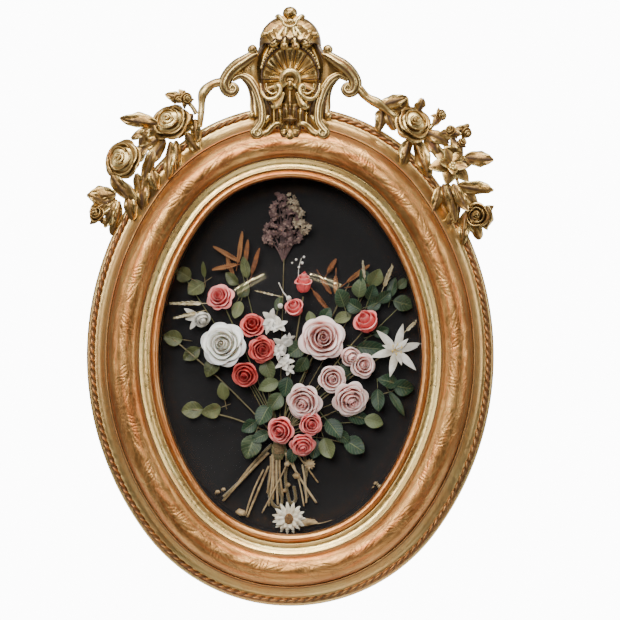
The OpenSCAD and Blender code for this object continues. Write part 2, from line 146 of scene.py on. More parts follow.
def mark_hollows(mesh):
    """Marks how deep each point lies between its neighbours: 0.5 is flat, 1 a hollow, 0 a ridge. The carved
    gold reads it as painted shade in the hollows and a painted highlight on the ridges.
    """
    n = len(mesh.vertices)
    points, normals, ends = np.empty(n * 3), np.empty(n * 3), np.empty(len(mesh.edges) * 2, dtype=np.int64)
    mesh.vertices.foreach_get("co", points)
    mesh.vertices.foreach_get("normal", normals)
    mesh.edges.foreach_get("vertices", ends)
    points, normals, ends = points.reshape(-1, 3), normals.reshape(-1, 3), ends.reshape(-1, 2)
    links = np.concatenate([ends, ends[:, ::-1]])
    way = points[links[:, 1]] - points[links[:, 0]]
    slope = np.einsum("ij,ij->i", way, normals[links[:, 0]]) / (np.linalg.norm(way, axis=1) + 1e-9)
    count = np.bincount(links[:, 0], minlength=n) + 1e-6
    depth = np.bincount(links[:, 0], slope, n) / count

    def blurred(values, times):
        for _ in range(times):
            values = (values + np.bincount(links[:, 0], values[links[:, 1]], n)) / (count + 1)
        return values

    depth = blurred(depth, 2) - 0.75 * blurred(depth, 30)
    layer = mesh.attributes.get("hollow") or mesh.attributes.new("hollow", "FLOAT", "POINT")
    layer.data.foreach_set("value", np.clip(0.5 + 3.2 * depth, 0, 1).astype(np.float32))


def thicken(piece, thickness, levels=1):
    """Gives sheets their real thickness, then rounds them."""
    solid = piece.modifiers.new("thickness", "SOLIDIFY")
    solid.thickness = thickness * MM
    solid.offset = 0
    if levels:
        rounding = piece.modifiers.new("rounding", "SUBSURF")
        rounding.levels = rounding.render_levels = levels
    return piece


def tube(soup, path, radius, sides=10, squash=1.0, twist=0.0, lobes=0, lobe_depth=0.0, **values):
    """Sweeps a round or lobed section of the given radii along a path."""
    path = np.asarray(path, float)
    n = len(path)
    radius = np.broadcast_to(np.asarray(radius, float), (n,))
    tangent = np.gradient(path, axis=0)
    tangent /= np.linalg.norm(tangent, axis=1)[:, None] + 1e-9
    up = np.array([0.0, 0.0, 1.0])
    side = np.cross(tangent, up)
    for i in range(n):
        if np.linalg.norm(side[i]) < 0.05:
            side[i] = side[i - 1] if i else [1, 0, 0]
    side /= np.linalg.norm(side, axis=1)[:, None]
    lift = np.cross(side, tangent)
    angle = np.linspace(0, TAU, sides, endpoint=False)
    run = np.linspace(0, 1, n)
    phase = angle[None, :] + twist * TAU * run[:, None]
    ring = radius[:, None] * (1 + lobe_depth * np.cos(lobes * phase)) if lobes else radius[:,
            None] + 0 * phase
    p = path[:, None] + ring[..., None] * (
        np.cos(angle)[None, :, None] * side[:, None] + squash * np.sin(angle)[None, :, None] * lift[:, None])
    index = soup.grid(p, wrap_v=True, run=run[:, None], **values)
    soup.cap(index[0])
    soup.cap(index[-1], flip=True)


def curve(points, n=24):
    """A smooth path through a few points (Catmull-Rom)."""
    p = np.asarray(points, float)
    p = np.vstack([2 * p[0] - p[1], p, 2 * p[-1] - p[-2]])
    t = np.linspace(0, len(p) - 3, n)
    i = np.minimum(t.astype(int), len(p) - 4)
    f = (t - i)[:, None]
    a, b, c, d = p[i], p[i + 1], p[i + 2], p[i + 3]
    return 0.5 * (2 * b + (c - a) * f + (2 * a - 5 * b + 4 * c - d) * f**2 + (3 * b - a - 3 * c + d) * f**3)


# ---------------------------------------------------------------- material kit

class Paint:
    """A small set of shader nodes, wired by calls."""

    def __init__(self, name, metallic=0.0, **sockets):
        self.material = bpy.data.materials.new(name)
        self.material.use_nodes = True
        self.tree = self.material.node_tree
        self.shader = self.tree.nodes["Principled BSDF"]
        self.shader.inputs["Metallic"].default_value = metallic
        for key, value in sockets.items():
            self.shader.inputs[key.replace("_", " ")].default_value = value
        self.place = self.node("ShaderNodeTexCoord").outputs["Object"]

    def node(self, kind, **settings):
        n = self.tree.nodes.new(kind)
        for key, value in settings.items():
            setattr(n, key, value)
        return n

    def link(self, value, socket):
        if isinstance(value, bpy.types.NodeSocket):
            self.tree.links.new(value, socket)
        elif isinstance(value, (tuple, list)) and len(value) == 3 and socket.type == "RGBA":
            socket.default_value = (*value, 1)
        else:
            socket.default_value = value

    def stretch(self, scale, vector=None):
        n = self.node("ShaderNodeMapping")
        self.link(vector or self.place, n.inputs["Vector"])
        n.inputs["Scale"].default_value = scale
        return n.outputs[0]

    def noise(self, scale, detail=4, rough=0.55, vector=None, distortion=0.0):
        n = self.node("ShaderNodeTexNoise")
        self.link(vector or self.place, n.inputs["Vector"])
        n.inputs["Scale"].default_value = scale
        n.inputs["Detail"].default_value = detail
        n.inputs["Roughness"].default_value = rough
        n.inputs["Distortion"].default_value = distortion
        return n.outputs["Fac"]

    def cells(self, scale, feature="F1", vector=None):
        n = self.node("ShaderNodeTexVoronoi", feature=feature)
        self.link(vector or self.place, n.inputs["Vector"])
        n.inputs["Scale"].default_value = scale
        return n.outputs["Distance"]

    def attribute(self, name):
        return self.node("ShaderNodeAttribute", attribute_name=name).outputs["Fac"]

    def maths(self, operation, a, b=0.5):
        n = self.node("ShaderNodeMath", operation=operation)
        self.link(a, n.inputs[0])
        self.link(b, n.inputs[1])
        return n.outputs[0]

    def band(self, value, low, high, to_low=0.0, to_high=1.0):
        n = self.node("ShaderNodeMapRange", interpolation_type="SMOOTHSTEP")
        for socket, v in zip(n.inputs, (value, low, high, to_low, to_high)):
            self.link(v, socket)
        return n.outputs[0]

    def mix(self, factor, a, b):
        n = self.node("ShaderNodeMix", data_type="RGBA")
        self.link(factor, n.inputs[0])
        self.link(a, n.inputs[6])
        self.link(b, n.inputs[7])
        return n.outputs[2]

    def bump(self, height, distance, strength=1.0, onto=None):
        n = self.node("ShaderNodeBump")
        n.inputs["Distance"].default_value = distance
        n.inputs["Strength"].default_value = strength
        self.link(height, n.inputs["Height"])
        if onto:
            self.link(onto, n.inputs["Normal"])
        return n.outputs[0]

    def done(self, color=None, rough=None, normal=None, metallic=None):
        for name, value in (("Base Color", color), ("Roughness", rough), ("Normal", normal),
                            ("Metallic", metallic)):
            if value is not None:
                self.link(value, self.shader.inputs[name])
        return self.material


def dress(node, material):
    """Gives a CAD node that keeps its shape a finished material."""
    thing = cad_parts[node]
    thing.data.materials.clear()
    thing.data.materials.append(material)


# ---------------------------------------------------------------- gilding

def gilding(name, leaf, shade, bole, wear, hollow_shade_strength, rough, streak, outer=None):
    """Worn gold leaf: leaf over bole, streaked along the moulding, with painted shade toned into the hollows.

    The attributes along and across are millimetres on the surface, hollow is 1 in cuts and creases.
    """
    g = Paint(name)
    hollow = g.attribute("hollow")
    skin = g.node("ShaderNodeCombineXYZ")
    g.link(g.attribute("along"), skin.inputs[0])
    g.link(g.attribute("across"), skin.inputs[1])
    streaks = g.noise(1.0, 5, 0.6, g.stretch((0.012, streak, 1), skin.outputs[0]), 0.6)
    cloud = g.noise(14, 5, 0.6)
    fine = g.noise(260, 4, 0.65)
    speck = g.noise(900, 2, 0.5)
    tone = g.mix(g.band(cloud, 0.35, 0.68), shade, leaf)
    tone = g.mix(g.band(streaks, 0.42, 0.66, 0, 0.75), tone, bole)
    rubbed = g.maths("MULTIPLY", g.band(fine, 0.5, 0.64), g.band(cloud, 0.4, 0.62))
    tone = g.mix(g.maths("MULTIPLY", rubbed, wear), tone, bole)
    if outer:
        tone = g.mix(g.maths("MULTIPLY", g.band(g.attribute("across"), 79, 84),
                             g.band(cloud, 0.3, 0.7, 1, 0.4)), tone, outer)
    # Painted shade: the cuts, creases and hollows are toned dark brown, rougher and less metallic.
    painted_hollow_shade = g.maths("MULTIPLY", g.band(hollow, 0.1, 0.9), hollow_shade_strength)
    tone = g.mix(painted_hollow_shade, tone, (0.10, 0.055, 0.025))
    gloss = g.band(fine, 0.3, 0.8, rough - 0.08, rough + 0.14)
    gloss = g.maths("ADD", gloss, g.maths("MULTIPLY", painted_hollow_shade, 0.35))
    normal = g.bump(fine, 0.0006, 0.35, g.bump(speck, 0.0002, 0.3))
    return g.done(tone, gloss, normal, g.maths("SUBTRACT", 0.94, g.maths("MULTIPLY", painted_hollow_shade, 0.6)))


# ---------------------------------------------------------------- oval sweeps

def arc_centre(n):
    return ((SIDE_CENTRE * (n - 1), 0), (0, END_CENTRE), (SIDE_CENTRE * (n - 1), 0), (0, -END_CENTRE))[n]


def antique_gold(name, body, light, painted_hollow_shade):
    """Old water gilding on carving: painted shade in the hollows, a painted highlight of paler gold on the
    ridges, and patches of red bole.
    """
    g = Paint(name)
    hollow = g.attribute("hollow")
    mottle, fine = g.noise(70, 5, 0.65), g.noise(600, 4, 0.65)
    shade_and_highlight_mask = g.maths("ADD", hollow, g.maths("MULTIPLY", g.maths("SUBTRACT", mottle, 0.5), 0.35))
    # Painted highlight: the ridges take the paler light gold.
    color = g.mix(g.band(shade_and_highlight_mask, 0.36, 0.50, 1, 0), body, light)
    # Painted shade: the hollows turn to the near-black shade colour, rougher and less metallic.
    color = g.mix(g.band(shade_and_highlight_mask, 0.52, 0.66), color, painted_hollow_shade)
    color = g.mix(g.band(g.noise(45, 4), 0.60, 0.72, 0, 0.4), color, (0.40, 0.13, 0.05))
    return g.done(color, g.maths("ADD", g.band(mottle, 0.3, 0.7, 0.22, 0.40),
                                 g.band(shade_and_highlight_mask, 0.5, 0.7, 0, 0.3)),
                  g.bump(fine, 0.0003, 0.5, g.bump(mottle, 0.0010, 0.4)),
                  g.band(shade_and_highlight_mask, 0.52, 0.7, 0.92, 0.25))


def sweep_arc(n, profile, step, relief=None):
    """Grid of a profile (outward, up) along arc n of the oval: 0 right, 1 top, 2 left, 3 bottom.

    relief(along, across, profile normals) moves points out along the section's normals.
    Returns points, distance along and distance across.
    """
    half = JOIN if n % 2 == 0 else math.pi / 2 - JOIN
    radius = SIDE_R if n % 2 == 0 else END_R
    mid_r = radius + MOULDING_W / 2
    count = max(8, round(2 * half * mid_r / step)) + 1
    angle = n * math.pi / 2 + np.linspace(-half, half, count)
    side_len, end_len = 2 * JOIN * (SIDE_R + MOULDING_W / 2), (math.pi - 2 * JOIN) * (END_R + MOULDING_W / 2)
    start = (0, side_len, side_len + end_len, 2 * side_len + end_len)[n]
    along = start + (angle - angle[0]) * mid_r
    d, h = profile[:, 0], profile[:, 1]
    across = np.concatenate([[0], np.cumsum(np.hypot(np.diff(d), np.diff(h)))])
    along, across = np.meshgrid(along, across, indexing="ij")
    dd, hh = np.broadcast_to(d, along.shape), np.broadcast_to(h, along.shape)
    hollow = np.zeros_like(along)
    if relief:
        t = np.gradient(profile, axis=0)
        t /= np.linalg.norm(t, axis=1)[:, None] + 1e-9
        lift, hollow = relief(along, across, dd, hh)
        dd, hh = dd - lift * t[:, 1], hh + lift * t[:, 0]
    c = arc_centre(n)
    a = angle[:, None]
    p = np.stack([c[0] + (radius + dd) * np.cos(a), c[1] + (radius + dd) * np.sin(a), MOULDING_Z + hh], -1)
    return p, along, across, hollow


def dense(points, step):
    """Points along an open outline, no further apart than step."""
    points = np.asarray(points, float)
    out = [points[:1]]
    for a, b in zip(points[:-1], points[1:]):
        n = max(1, math.ceil(np.linalg.norm(b - a) / step))
        out.append(a + (b - a) * (np.arange(1, n + 1) / n)[:, None])
    return np.vstack(out)


def moulding_front():
    """The moulding's section from the glass rebate over the torus, fillet and scotia to its back edge."""
    rise = [(40 - 17.4 * math.sin(a), 36 + 14 * math.cos(a)) for a in np.radians(np.arange(84, 0, -6))]
    fall = [(40 + 19.6 * math.sin(a), 26 + 24 * math.cos(a)) for a in np.radians(np.arange(0, 85, 5))]
    fillet = [(59.8, 27.5), (60.2, 29.3), (61.0, 30.0), (61.9, 29.7), (62.3, 28.8)]
    scotia = [(62.4 + 12.3 * u, 18.5 + 10 * (1 - u) ** 2) for u in np.linspace(0, 1, 12)]
    edge = [(81.9, 18.5), (83.4, 17.8), (84.8, 15.4), (85.5, 12), (85.5, 9.5), (82, 0.25)]
    return np.array([(22.6, 17.9), (22.6, 36)] + rise + fall + fillet + scotia + edge)


VINE_PERIOD = 118.0
TORUS_MID = 42.0


def cut_line(distance, width):
    return 1 - smooth(0, width, np.abs(distance))


def almond(x, y, cx, cy, turn, length, width):
    """Signed distance, roughly, to a pointed leaf that starts at (cx, cy)."""
    ux, uy = math.cos(turn), math.sin(turn)
    u = (x - cx) * ux + (y - cy) * uy
    v = -(x - cx) * uy + (y - cy) * ux
    t = np.clip(u / length, 0, 1)
    half = width / 2 * np.sin(math.pi * t) ** 0.8
    outside = np.where((u < 0) | (u > length), np.minimum(np.abs(u), np.abs(u - length)), 0)
    return np.abs(v) - half + outside, v, u


def engraving(along, across, dd, hh):
    """Cuts of a running vine with leaves and flowers in the torus."""
    s = along % VINE_PERIOD
    y = across - TORUS_MID
    depth = np.zeros_like(s)
    swing = 9 * np.sin(TAU * s / VINE_PERIOD)
    depth = np.maximum(depth, cut_line(y - swing, 0.9))
    leaves = [(10, 4, 0.9, 24, 9), (22, 8, 0.2, 26, 10), (30, 9, -0.9, 22, 8), (48, 4, -1.3, 20, 8),
              (52, 2, -0.35, 27, 10), (69, -4, -0.9, 24, 9), (81, -8, -0.2, 26, 10), (89, -9, 0.9, 22, 8),
              (107, -4, 1.3, 20, 8), (111, -2, 0.35, 27, 10), (16, 6, 1.7, 17, 7), (75, -6, -1.7, 17, 7),
              (38, 7, 0.5, 18, 6), (97, -7, -0.5, 18, 6)]
    for cx, cy, turn, length, width in leaves:
        for wrap in (-VINE_PERIOD, 0, VINE_PERIOD):
            edge, v, u = almond(s, y, cx + wrap, cy, turn, length, width)
            depth = np.maximum(depth, cut_line(edge, 0.8))
            rib = cut_line(v, 0.6) * (edge < 0)
            veins = cut_line(np.abs(v) - (u % 4.0), 0.5) * (edge < -0.6) * 0.5
            depth = np.maximum(depth, np.maximum(rib * 0.8, veins))
    on_torus = smooth(27, 30, dd) * (1 - smooth(56, 58.5, dd))
    depth = depth * on_torus
    ripple = 0.12 * np.sin(along * 0.21 + 2 * np.sin(across * 0.3)) * on_torus
    # The second value is hollow: the cuts and the creases at the fillet, scotia and rebate, which the gilding
    # paints dark as painted shade.
    crease = np.exp(-((dd - 59.7) / 0.9) ** 2) + np.exp(-((dd - 62.5) / 0.9) ** 2) + np.exp(-((dd - 22.6)
            / 1.6) ** 2)
    return ripple - 0.34 * depth, np.clip(depth * 0.62 + crease, 0, 1)


def make_mouldings(material):
    section = dense(moulding_front(), 1.0)
    back = np.array([(82, 0.25), (9, 0.25), (9, 18), (22.6, 17.9)], float)
    for n, name in enumerate(("frame_right", "frame_top", "frame_left", "frame_bottom")):
        soup = Soup()
        p, along, across, hollow = sweep_arc(n, section, 0.9, engraving)
        soup.grid(p, along=along, across=across, hollow=hollow)
        q, along, across, _ = sweep_arc(n, back, 4.0)
        # The back and the joint ends are set to hollow 0.9, so the gilding gives them its dark painted-shade
        # toning.
        soup.grid(q, along=along, across=across + 300, hollow=0.9)
        for end, flip in ((0, False), (-1, True)):
            ring = np.vstack([p[end], q[end][1:-1]])
            soup.cap(soup.grid(ring[None], hollow=0.9)[0], flip)
        soup.object("gilt_" + name, material, stands_for=(name,), slot="gilt_frame")


# ---------------------------------------------------------------- slip and rope

def slip_section():
    bead = [(4.4 + 4.3 * math.cos(a), 29.2 + 4 * math.sin(a)) for a in np.radians(np.arange(180, -1, -9))]
    cavetto = [(10.7 + 11.4 * u, 31.6 + 2.6 * u - 2.2 * math.sin(math.pi * u))
               for u in np.linspace(0, 1, 12)]
    return np.array([(0.1, 18.1), (0.1, 29.2)] + bead[1:] + [(9.1, 28.4), (9.9, 28.4), (10.3, 31.4)]
                    + cavetto
                    + [(22.2, 34), (22.2, 18.1), (0.1, 18.1)], float)


def slip_ripple_and_shaded_groove(along, across, dd, hh):
    # The groove between the bead and the band is marked as a hollow, which the gilding paints dark as painted
    # shade.
    groove = np.exp(-((dd - 9.5) / 0.9) ** 2)
    ripple = 0.05 * np.sin(along * 0.5) * np.sin(along * 0.083 + across)
    return ripple, groove


def make_slip(bead_material, band_material):
    section = dense(slip_section(), 0.9)
    split = int(np.argmax(section[:, 0] > 9.5))
    for n, side in enumerate(("right", "top", "left", "bottom")):
        p, along, across, hollow = sweep_arc(n, section, 2.2, slip_ripple_and_shaded_groove)
        bead, band = Soup(), Soup()
        bead.grid(p[:, :split + 1], along=along[:, :split + 1], across=across[:, :split + 1],
                  hollow=hollow[:, :split + 1])
        band.grid(p[:, split:], along=along[:, split:], across=across[:, split:], hollow=hollow[:, split:])
        bead.object("slip_bead_" + side, bead_material, stands_for=("sight_slip",), slot="gilt_slip")
        band.object("slip_band_" + side, band_material, stands_for=("sight_slip",), slot="gilt_slip")


def rope_twist(along, across, dd, hh):
    pitch = 8.6
    wave = np.abs(np.sin(math.pi * (along / pitch + across / 9.0)))
    # The second value marks the grooves between the strands, which the gilding paints dark as painted shade.
    return -1.5 * (1 - wave ** 0.55), smooth(0.55, 0.05, wave)


def make_rope(material):
    section = np.array([(78.3 - 3.4 * math.cos(a), 18.5 + 3.4 * math.sin(a))
                        for a in np.linspace(0, math.pi, 15)])
    soup = Soup()
    for n in range(4):
        p, along, across, hollow = sweep_arc(n, section, 0.8, rope_twist)
        soup.grid(p, along=along, across=across, hollow=hollow)
    soup.object("rope_edge_carved", material, stands_for=("rope_edge",), slot="gilt_frame")


# ---------------------------------------------------------------- glass and ground

DOME_RISE = 48.0
GLASS_T = 2.8
DOME_R = SIGHT_HALF_W - 1
RIM_R = SIGHT_HALF_W + 7
STRETCH = (SIGHT_HALF_H + 7) / RIM_R


def dome_height(x):
    return DOME_RISE * np.maximum(0, 1 - (x / DOME_R) ** 2.3) ** 0.8


def make_glass():
    g = Paint("domed_glass", Roughness=0.03, IOR=1.12, Transmission_Weight=1.0)
    g.shader.inputs["Base Color"].default_value = (0.97, 0.99, 0.985, 1)
    g.link(g.bump(g.noise(9, 2), 0.0004, 0.15), g.shader.inputs["Normal"])
    passing = g.node("ShaderNodeBsdfTransparent")
    mixer = g.node("ShaderNodeMixShader")
    g.link(g.node("ShaderNodeLightPath").outputs["Is Shadow Ray"], mixer.inputs[0])
    g.link(g.shader.outputs[0], mixer.inputs[1])
    g.link(passing.outputs[0], mixer.inputs[2])
    g.link(mixer.outputs[0], g.tree.nodes["Material Output"].inputs["Surface"])

    outer = DOME_R * np.sin(np.linspace(0.02, math.pi / 2, 56))
    height = dome_height(outer)
    slope = np.gradient(height, outer)
    slope[-1] = -6
    tilt = GLASS_T / np.hypot(1, slope)
    r = np.concatenate([outer, [RIM_R - 0.6, RIM_R, RIM_R, RIM_R - 0.6, DOME_R - GLASS_T],
                        (outer + slope * tilt)[::-1]])
    z = np.concatenate([height, [0, -0.6, -GLASS_T + 0.6, -GLASS_T, -GLASS_T], (height - tilt)[::-1]])
    a = np.linspace(0, TAU, 180, endpoint=False)[:, None]
    p = np.stack([r * np.cos(a), STRETCH * r * np.sin(a), SEAT_Z + z + 0 * a], -1)
    soup = Soup()
    index = soup.grid(p, wrap_u=True)
    soup.cap(index[:, 0], flip=True)
    soup.cap(index[:, -1])
    return soup.object("domed_glass", g.material, stands_for=("glass_dome",), slot="dome_glass")


def make_ground():
    """Velvet laid over the card, with a dusty nap."""
    v = Paint("black_velvet", Roughness=0.95, Sheen_Weight=0.06, Sheen_Roughness=0.6)
    v.shader.inputs["Sheen Tint"].default_value = (0.35, 0.38, 0.45, 1)
    dust = v.noise(240, 5, 0.7)
    color = v.mix(v.band(dust, 0.58, 0.8, 0, 0.5), (0.0055, 0.0045, 0.0048), (0.017, 0.014, 0.013))
    color = v.mix(v.band(v.cells(260), 0.0, 0.10, 0.3, 0), color, (0.06, 0.05, 0.045))
    v.done(color, None, v.bump(v.noise(1400, 3, 0.7), 0.0004, 0.6))
    dress("velvet_ground", v.material)
    lining = Paint("lining_paper", Roughness=0.8)
    lining.done(lining.mix(lining.noise(60), (0.012, 0.012, 0.014), (0.035, 0.03, 0.03)), None,
                lining.bump(lining.noise(500), 0.0003, 0.5))
    dress("box_lining", lining.material)


# ---------------------------------------------------------------- back of the frame

def wood(name, light, dark, along_axis, ring_scale, rough=0.72):
    """Dry wood with grain along one axis of the row."""
    w = Paint(name)
    scale = [ring_scale] * 3
    scale[along_axis] = ring_scale / 22
    bands = w.noise(1.0, 6, 0.65, w.stretch(scale), 1.2)
    pores = w.noise(1.0, 3, 0.7, w.stretch([s * 6 for s in scale]))
    patch = w.noise(9, 3)
    color = w.mix(w.band(bands, 0.35, 0.66), light, dark)
    color = w.mix(w.band(pores, 0.55, 0.75, 0, 0.6), color, tuple(c * 0.4 for c in dark))
    color = w.mix(w.band(patch, 0.45, 0.75, 0, 0.35), color, tuple(c * 0.55 for c in light))
    return w.done(color, w.band(bands, 0.3, 0.7, rough - 0.08, rough + 0.1),
                  w.bump(pores, 0.0005, 0.6, w.bump(bands, 0.0008, 0.35)))


def metal(name, base, spots, rough, metallic=1.0, spot_scale=300, low=0.5, high=0.68):
    m = Paint(name)
    blotch = m.band(m.noise(spot_scale, 5, 0.65), low, high)
    fine = m.noise(1500, 3)
    return m.done(m.mix(blotch, base, spots), m.maths("ADD",
            m.band(fine, 0.3, 0.8, rough - 0.06, rough + 0.1),
                  m.maths("MULTIPLY", blotch, 0.3)), m.bump(fine, 0.0002, 0.5, m.bump(blotch, 0.0002, 0.4)),
                  m.band(blotch, 0, 1, metallic, 0.35 * metallic))


def dress_back():
    board = wood("pine_board", (0.34, 0.20, 0.10), (0.20, 0.105, 0.045), 2, 34)
    rim = wood("poplar_rim", (0.25, 0.15, 0.075), (0.15, 0.08, 0.035), 2, 60)
    oak = wood("oak_strip", (0.24, 0.14, 0.06), (0.13, 0.07, 0.03), 0, 80)
    brass = metal("old_brass", (0.62, 0.43, 0.17), (0.20, 0.14, 0.06), 0.34)
    iron = metal("dark_iron", (0.17, 0.15, 0.14), (0.16, 0.065, 0.03), 0.5, 0.85)
    steel = metal("aged_steel", (0.38, 0.36, 0.34), (0.18, 0.10, 0.06), 0.42)
    for node in ("backboard_left", "backboard_middle", "backboard_right"):
        dress(node, board)
    dress("box_rim", rim)
    for node in ("joint_splines", "glass_packing"):
        dress(node, oak)
    for node in ("turn_button_1", "turn_button_2", "turn_button_3", "turn_button_4", "turn_button_screws"):
        dress(node, brass)
    for node in ("hanger_plate", "hanger_screws", "hanger_ring"):
        dress(node, iron)
    for node in ("box_screws", "crest_screws"):
        dress(node, steel)


# ---------------------------------------------------------------- bouquet: shapes

def turned(points, lean=0.0, side=0.0, turn=0.0):
    """Rotates points: spin about z by turn, then lean towards +y and side towards +x, in degrees."""
    spin = Matrix.Rotation(math.radians(turn), 3, "Z")
    tip = Matrix.Rotation(math.radians(side), 3, "Y") @ Matrix.Rotation(math.radians(-lean), 3, "X")
    return np.asarray(points) @ np.array(tip @ spin).T


def bezier(t, a, b, c, d):
    return a * (1 - t) ** 3 + 3 * b * t * (1 - t) ** 2 + 3 * c * t * t * (1 - t) + d * t**3


# Petals in rings: count, radius at the base, belly and rim, height, roll of the rim.
OPEN_ROSE = ((3, 0.08, 0.24, 0.20, 1.0, 0.03), (3, 0.10, 0.38, 0.36, 0.97, 0.07),
             (4, 0.12, 0.54, 0.56, 0.88, 0.12),
             (5, 0.14, 0.70, 0.74, 0.72, 0.17), (6, 0.16, 0.80, 0.86, 0.50, 0.20))
CUP_ROSE = ((3, 0.08, 0.30, 0.24, 1.0, 0.03), (3, 0.12, 0.50, 0.46, 0.96, 0.09),
            (4, 0.14, 0.68, 0.70, 0.84, 0.14),
            (5, 0.16, 0.80, 0.88, 0.60, 0.18))
CARVED_ROSE = ((3, 0.12, 0.34, 0.26, 1.0, 0.06), (3, 0.14, 0.56, 0.54, 0.95, 0.12),
               (4, 0.16, 0.76, 0.80, 0.78, 0.18),
               (5, 0.18, 0.86, 0.96, 0.50, 0.22))
BUD = ((2, 0.10, 0.42, 0.20, 1.0, 0.04), (3, 0.14, 0.62, 0.44, 0.92, 0.12), (3, 0.16, 0.74, 0.74, 0.72, 0.2))


def rose(soup, at, r, h, lean=0, side=0, turn=0, rings=OPEN_ROSE, seed=1):
    """A rose of waxed petals: a rolled heart, then rings of cupped petals with rolled rims."""
    rng = random.Random(seed)
    angle = np.linspace(0, 3.1 * math.pi, 44)[:, None]
    t = np.linspace(0, 1, 7)[None]
    radius = (0.03 + 0.17 * angle / angle.max()) * (0.7 + 0.5 * np.sin(math.pi * t * 0.8)) * r
    z = h * (0.25 + (0.72 - 0.05 * np.sin(angle * 1.7)) * t)
    p = np.stack([radius * np.cos(angle), radius * np.sin(angle), z + 0 * angle], -1)
    # hollow is read only by the carved gold: it rises towards the base of the heart, painting shade deep in
    # the rose.
    soup.grid(turned(p, lean, side, turn) + at, edge=t * 0.7, depth=0.0, tone=rng.random(),
              hollow=0.70 - 0.27 * t)
    u = np.linspace(-1, 1, 9)[:, None]
    t = np.linspace(0, 1, 10)[None]
    for k, (count, base, belly, rim, height, curl) in enumerate(rings):
        start = rng.uniform(0, TAU)
        for i in range(count):
            phase, roll = rng.uniform(0, TAU), curl * rng.uniform(0.8, 1.3)
            width = math.pi / count * rng.uniform(1.36, 1.52)
            te = t * (1 - 0.09 * u**2 - 0.10 * u**4)
            theta = start + TAU * i / count + u * width * (0.45 + 0.55
                    * np.sin(math.pi * np.minimum(0.12 + 0.6 * t, 0.5)))
            rho = bezier(te, base, belly * 1.3, belly * 1.05, rim * rng.uniform(0.96, 1.04))
            z = height * rng.uniform(0.95, 1.03) * bezier(te, 0, 0.02, 0.72, 1.0)
            lip = np.clip((te - 0.7) / 0.3, 0, 1) ** 2
            rho = rho + roll * lip * (1 + 0.35 * np.cos(2.4 * u)) + 0.045 * u + 0.022 * np.sin(3.4 * u
                    + phase) * te**2
            z = z - roll * 0.85 * lip * (0.8 + 0.4 * np.cos(2.4 * u)) + 0.02 * np.sin(4.1 * u
                    + phase) * te**2
            p = np.stack([rho * r * np.cos(theta), rho * r * np.sin(theta), z * h], -1)
            # hollow rises towards each petal's base: painted shade deep in the carved gold roses.
            soup.grid(turned(p, lean, side, turn) + at, edge=te, depth=(k + 1) / len(rings),
                      tone=rng.random(),
                      hollow=0.70 - 0.27 * te**2)


def leaf(soup, at, turn, length, width, rise=8.0, roll=0.0, fold=0.28, droop=0.14, teeth=9, tooth=0.05,
         blunt=0.7,
         rows=19, wave=0.05, ridge=0.0, seed=1, **values):
    """A leaf from its stalk end at a point: toothed outline, folded along its rib, drooping to the tip."""
    rng = random.Random(seed)
    v = np.linspace(0, 1, rows)[:, None]
    u = np.linspace(-1, 1, 9)[None]
    saw = 1 + tooth * (1 - 2 * np.abs((v * teeth) % 1 - 0.5) * 2)
    half = np.maximum(width / 2 * np.sin(math.pi * v**0.82) ** blunt * saw, 0.25)
    ph = rng.uniform(0, TAU)
    x = length * v + half * np.abs(u) * 0.12
    y = half * u
    z = fold * half * np.abs(u) - droop * length * v**2 + wave * width * np.sin(8 * v
            + ph) * np.abs(u) ** 1.5
    z = z + 0.012 * width * np.cos(TAU * (v * 6 - np.abs(u) * 1.1)) * (1 - np.abs(u))
    z = z + ridge * width * np.cos(3 * math.pi * u) * np.sin(math.pi * v)
    p = np.stack([x, y, z], -1)
    tilt = Matrix.Rotation(math.radians(turn), 3, "Z") @ Matrix.Rotation(math.radians(-rise), 3, "Y")
    tilt = tilt @ Matrix.Rotation(math.radians(roll), 3, "X")
    # hollow is read only by the carved gold: painted shade along the rib, a painted highlight towards the
    # edges.
    soup.grid(p @ np.array(tilt).T + at, u=u, v=v, tone=rng.random(),
              hollow=0.62 - 0.26 * np.abs(u) + 0 * v, **values)


def blob(soup, at, radii, seed=1, lumps=0.08, lobes=5, sides=18, **values):
    """A closed, slightly lumpy berry or seed."""
    rng = random.Random(seed)
    a = np.linspace(TAU, 0, sides, endpoint=False)[:, None]
    b = np.linspace(0.05, math.pi - 0.05, sides // 2 + 2)[None]
    k = 1 + lumps * np.sin(lobes * a + rng.uniform(0, 6)) * np.sin(b) ** 2 + lumps * 0.5 * np.sin(3 * b
            + rng.uniform(0, 6))
    p = np.stack([k * np.sin(b) * np.cos(a), k * np.sin(b) * np.sin(a), np.cos(b) + 0 * a], -1) * radii
    index = soup.grid(p + at, wrap_u=True, run=b / math.pi, tone=rng.random(), **values)
    soup.cap(index[:, 0], flip=True)
    soup.cap(index[:, -1])


def loft(soup, a, b, sag, flutes=2, n=60, m=24):
    """A fluted, hollowed skin between two edges."""
    a, b = curve(a, n), curve(b, n)
    t = np.linspace(0, 1, m)[None, :, None]
    p = a[:, None] * (1 - t) + b[:, None] * t
    p[..., 2] -= (sag * np.sin(math.pi * t) + 0.9 * np.cos(TAU * flutes * t) * np.sin(math.pi * t))[..., 0]
    soup.grid(p)


def star_flower(soup, at, r, petals, width, lean=0, side=0, turn=0, cup=25, seed=1, **values):
    """A flower of pointed, channelled petals that rise, then turn back at the tips."""
    for i in range(petals):
        part = Soup()
        leaf(part, (0, 0, 0), 360 * i / petals + turn, r, width, rise=cup, fold=-0.2, droop=0.42, teeth=1,
             tooth=0,
             blunt=0.85, rows=11, wave=0.03, seed=seed * 31 + i)
        p = np.vstack(part.points).reshape(11, 9, 3)
        soup.grid(turned(p, lean, side) + at, **{k: w.reshape(11, 9) for k, w in part.values[0].items()},
                  **values)


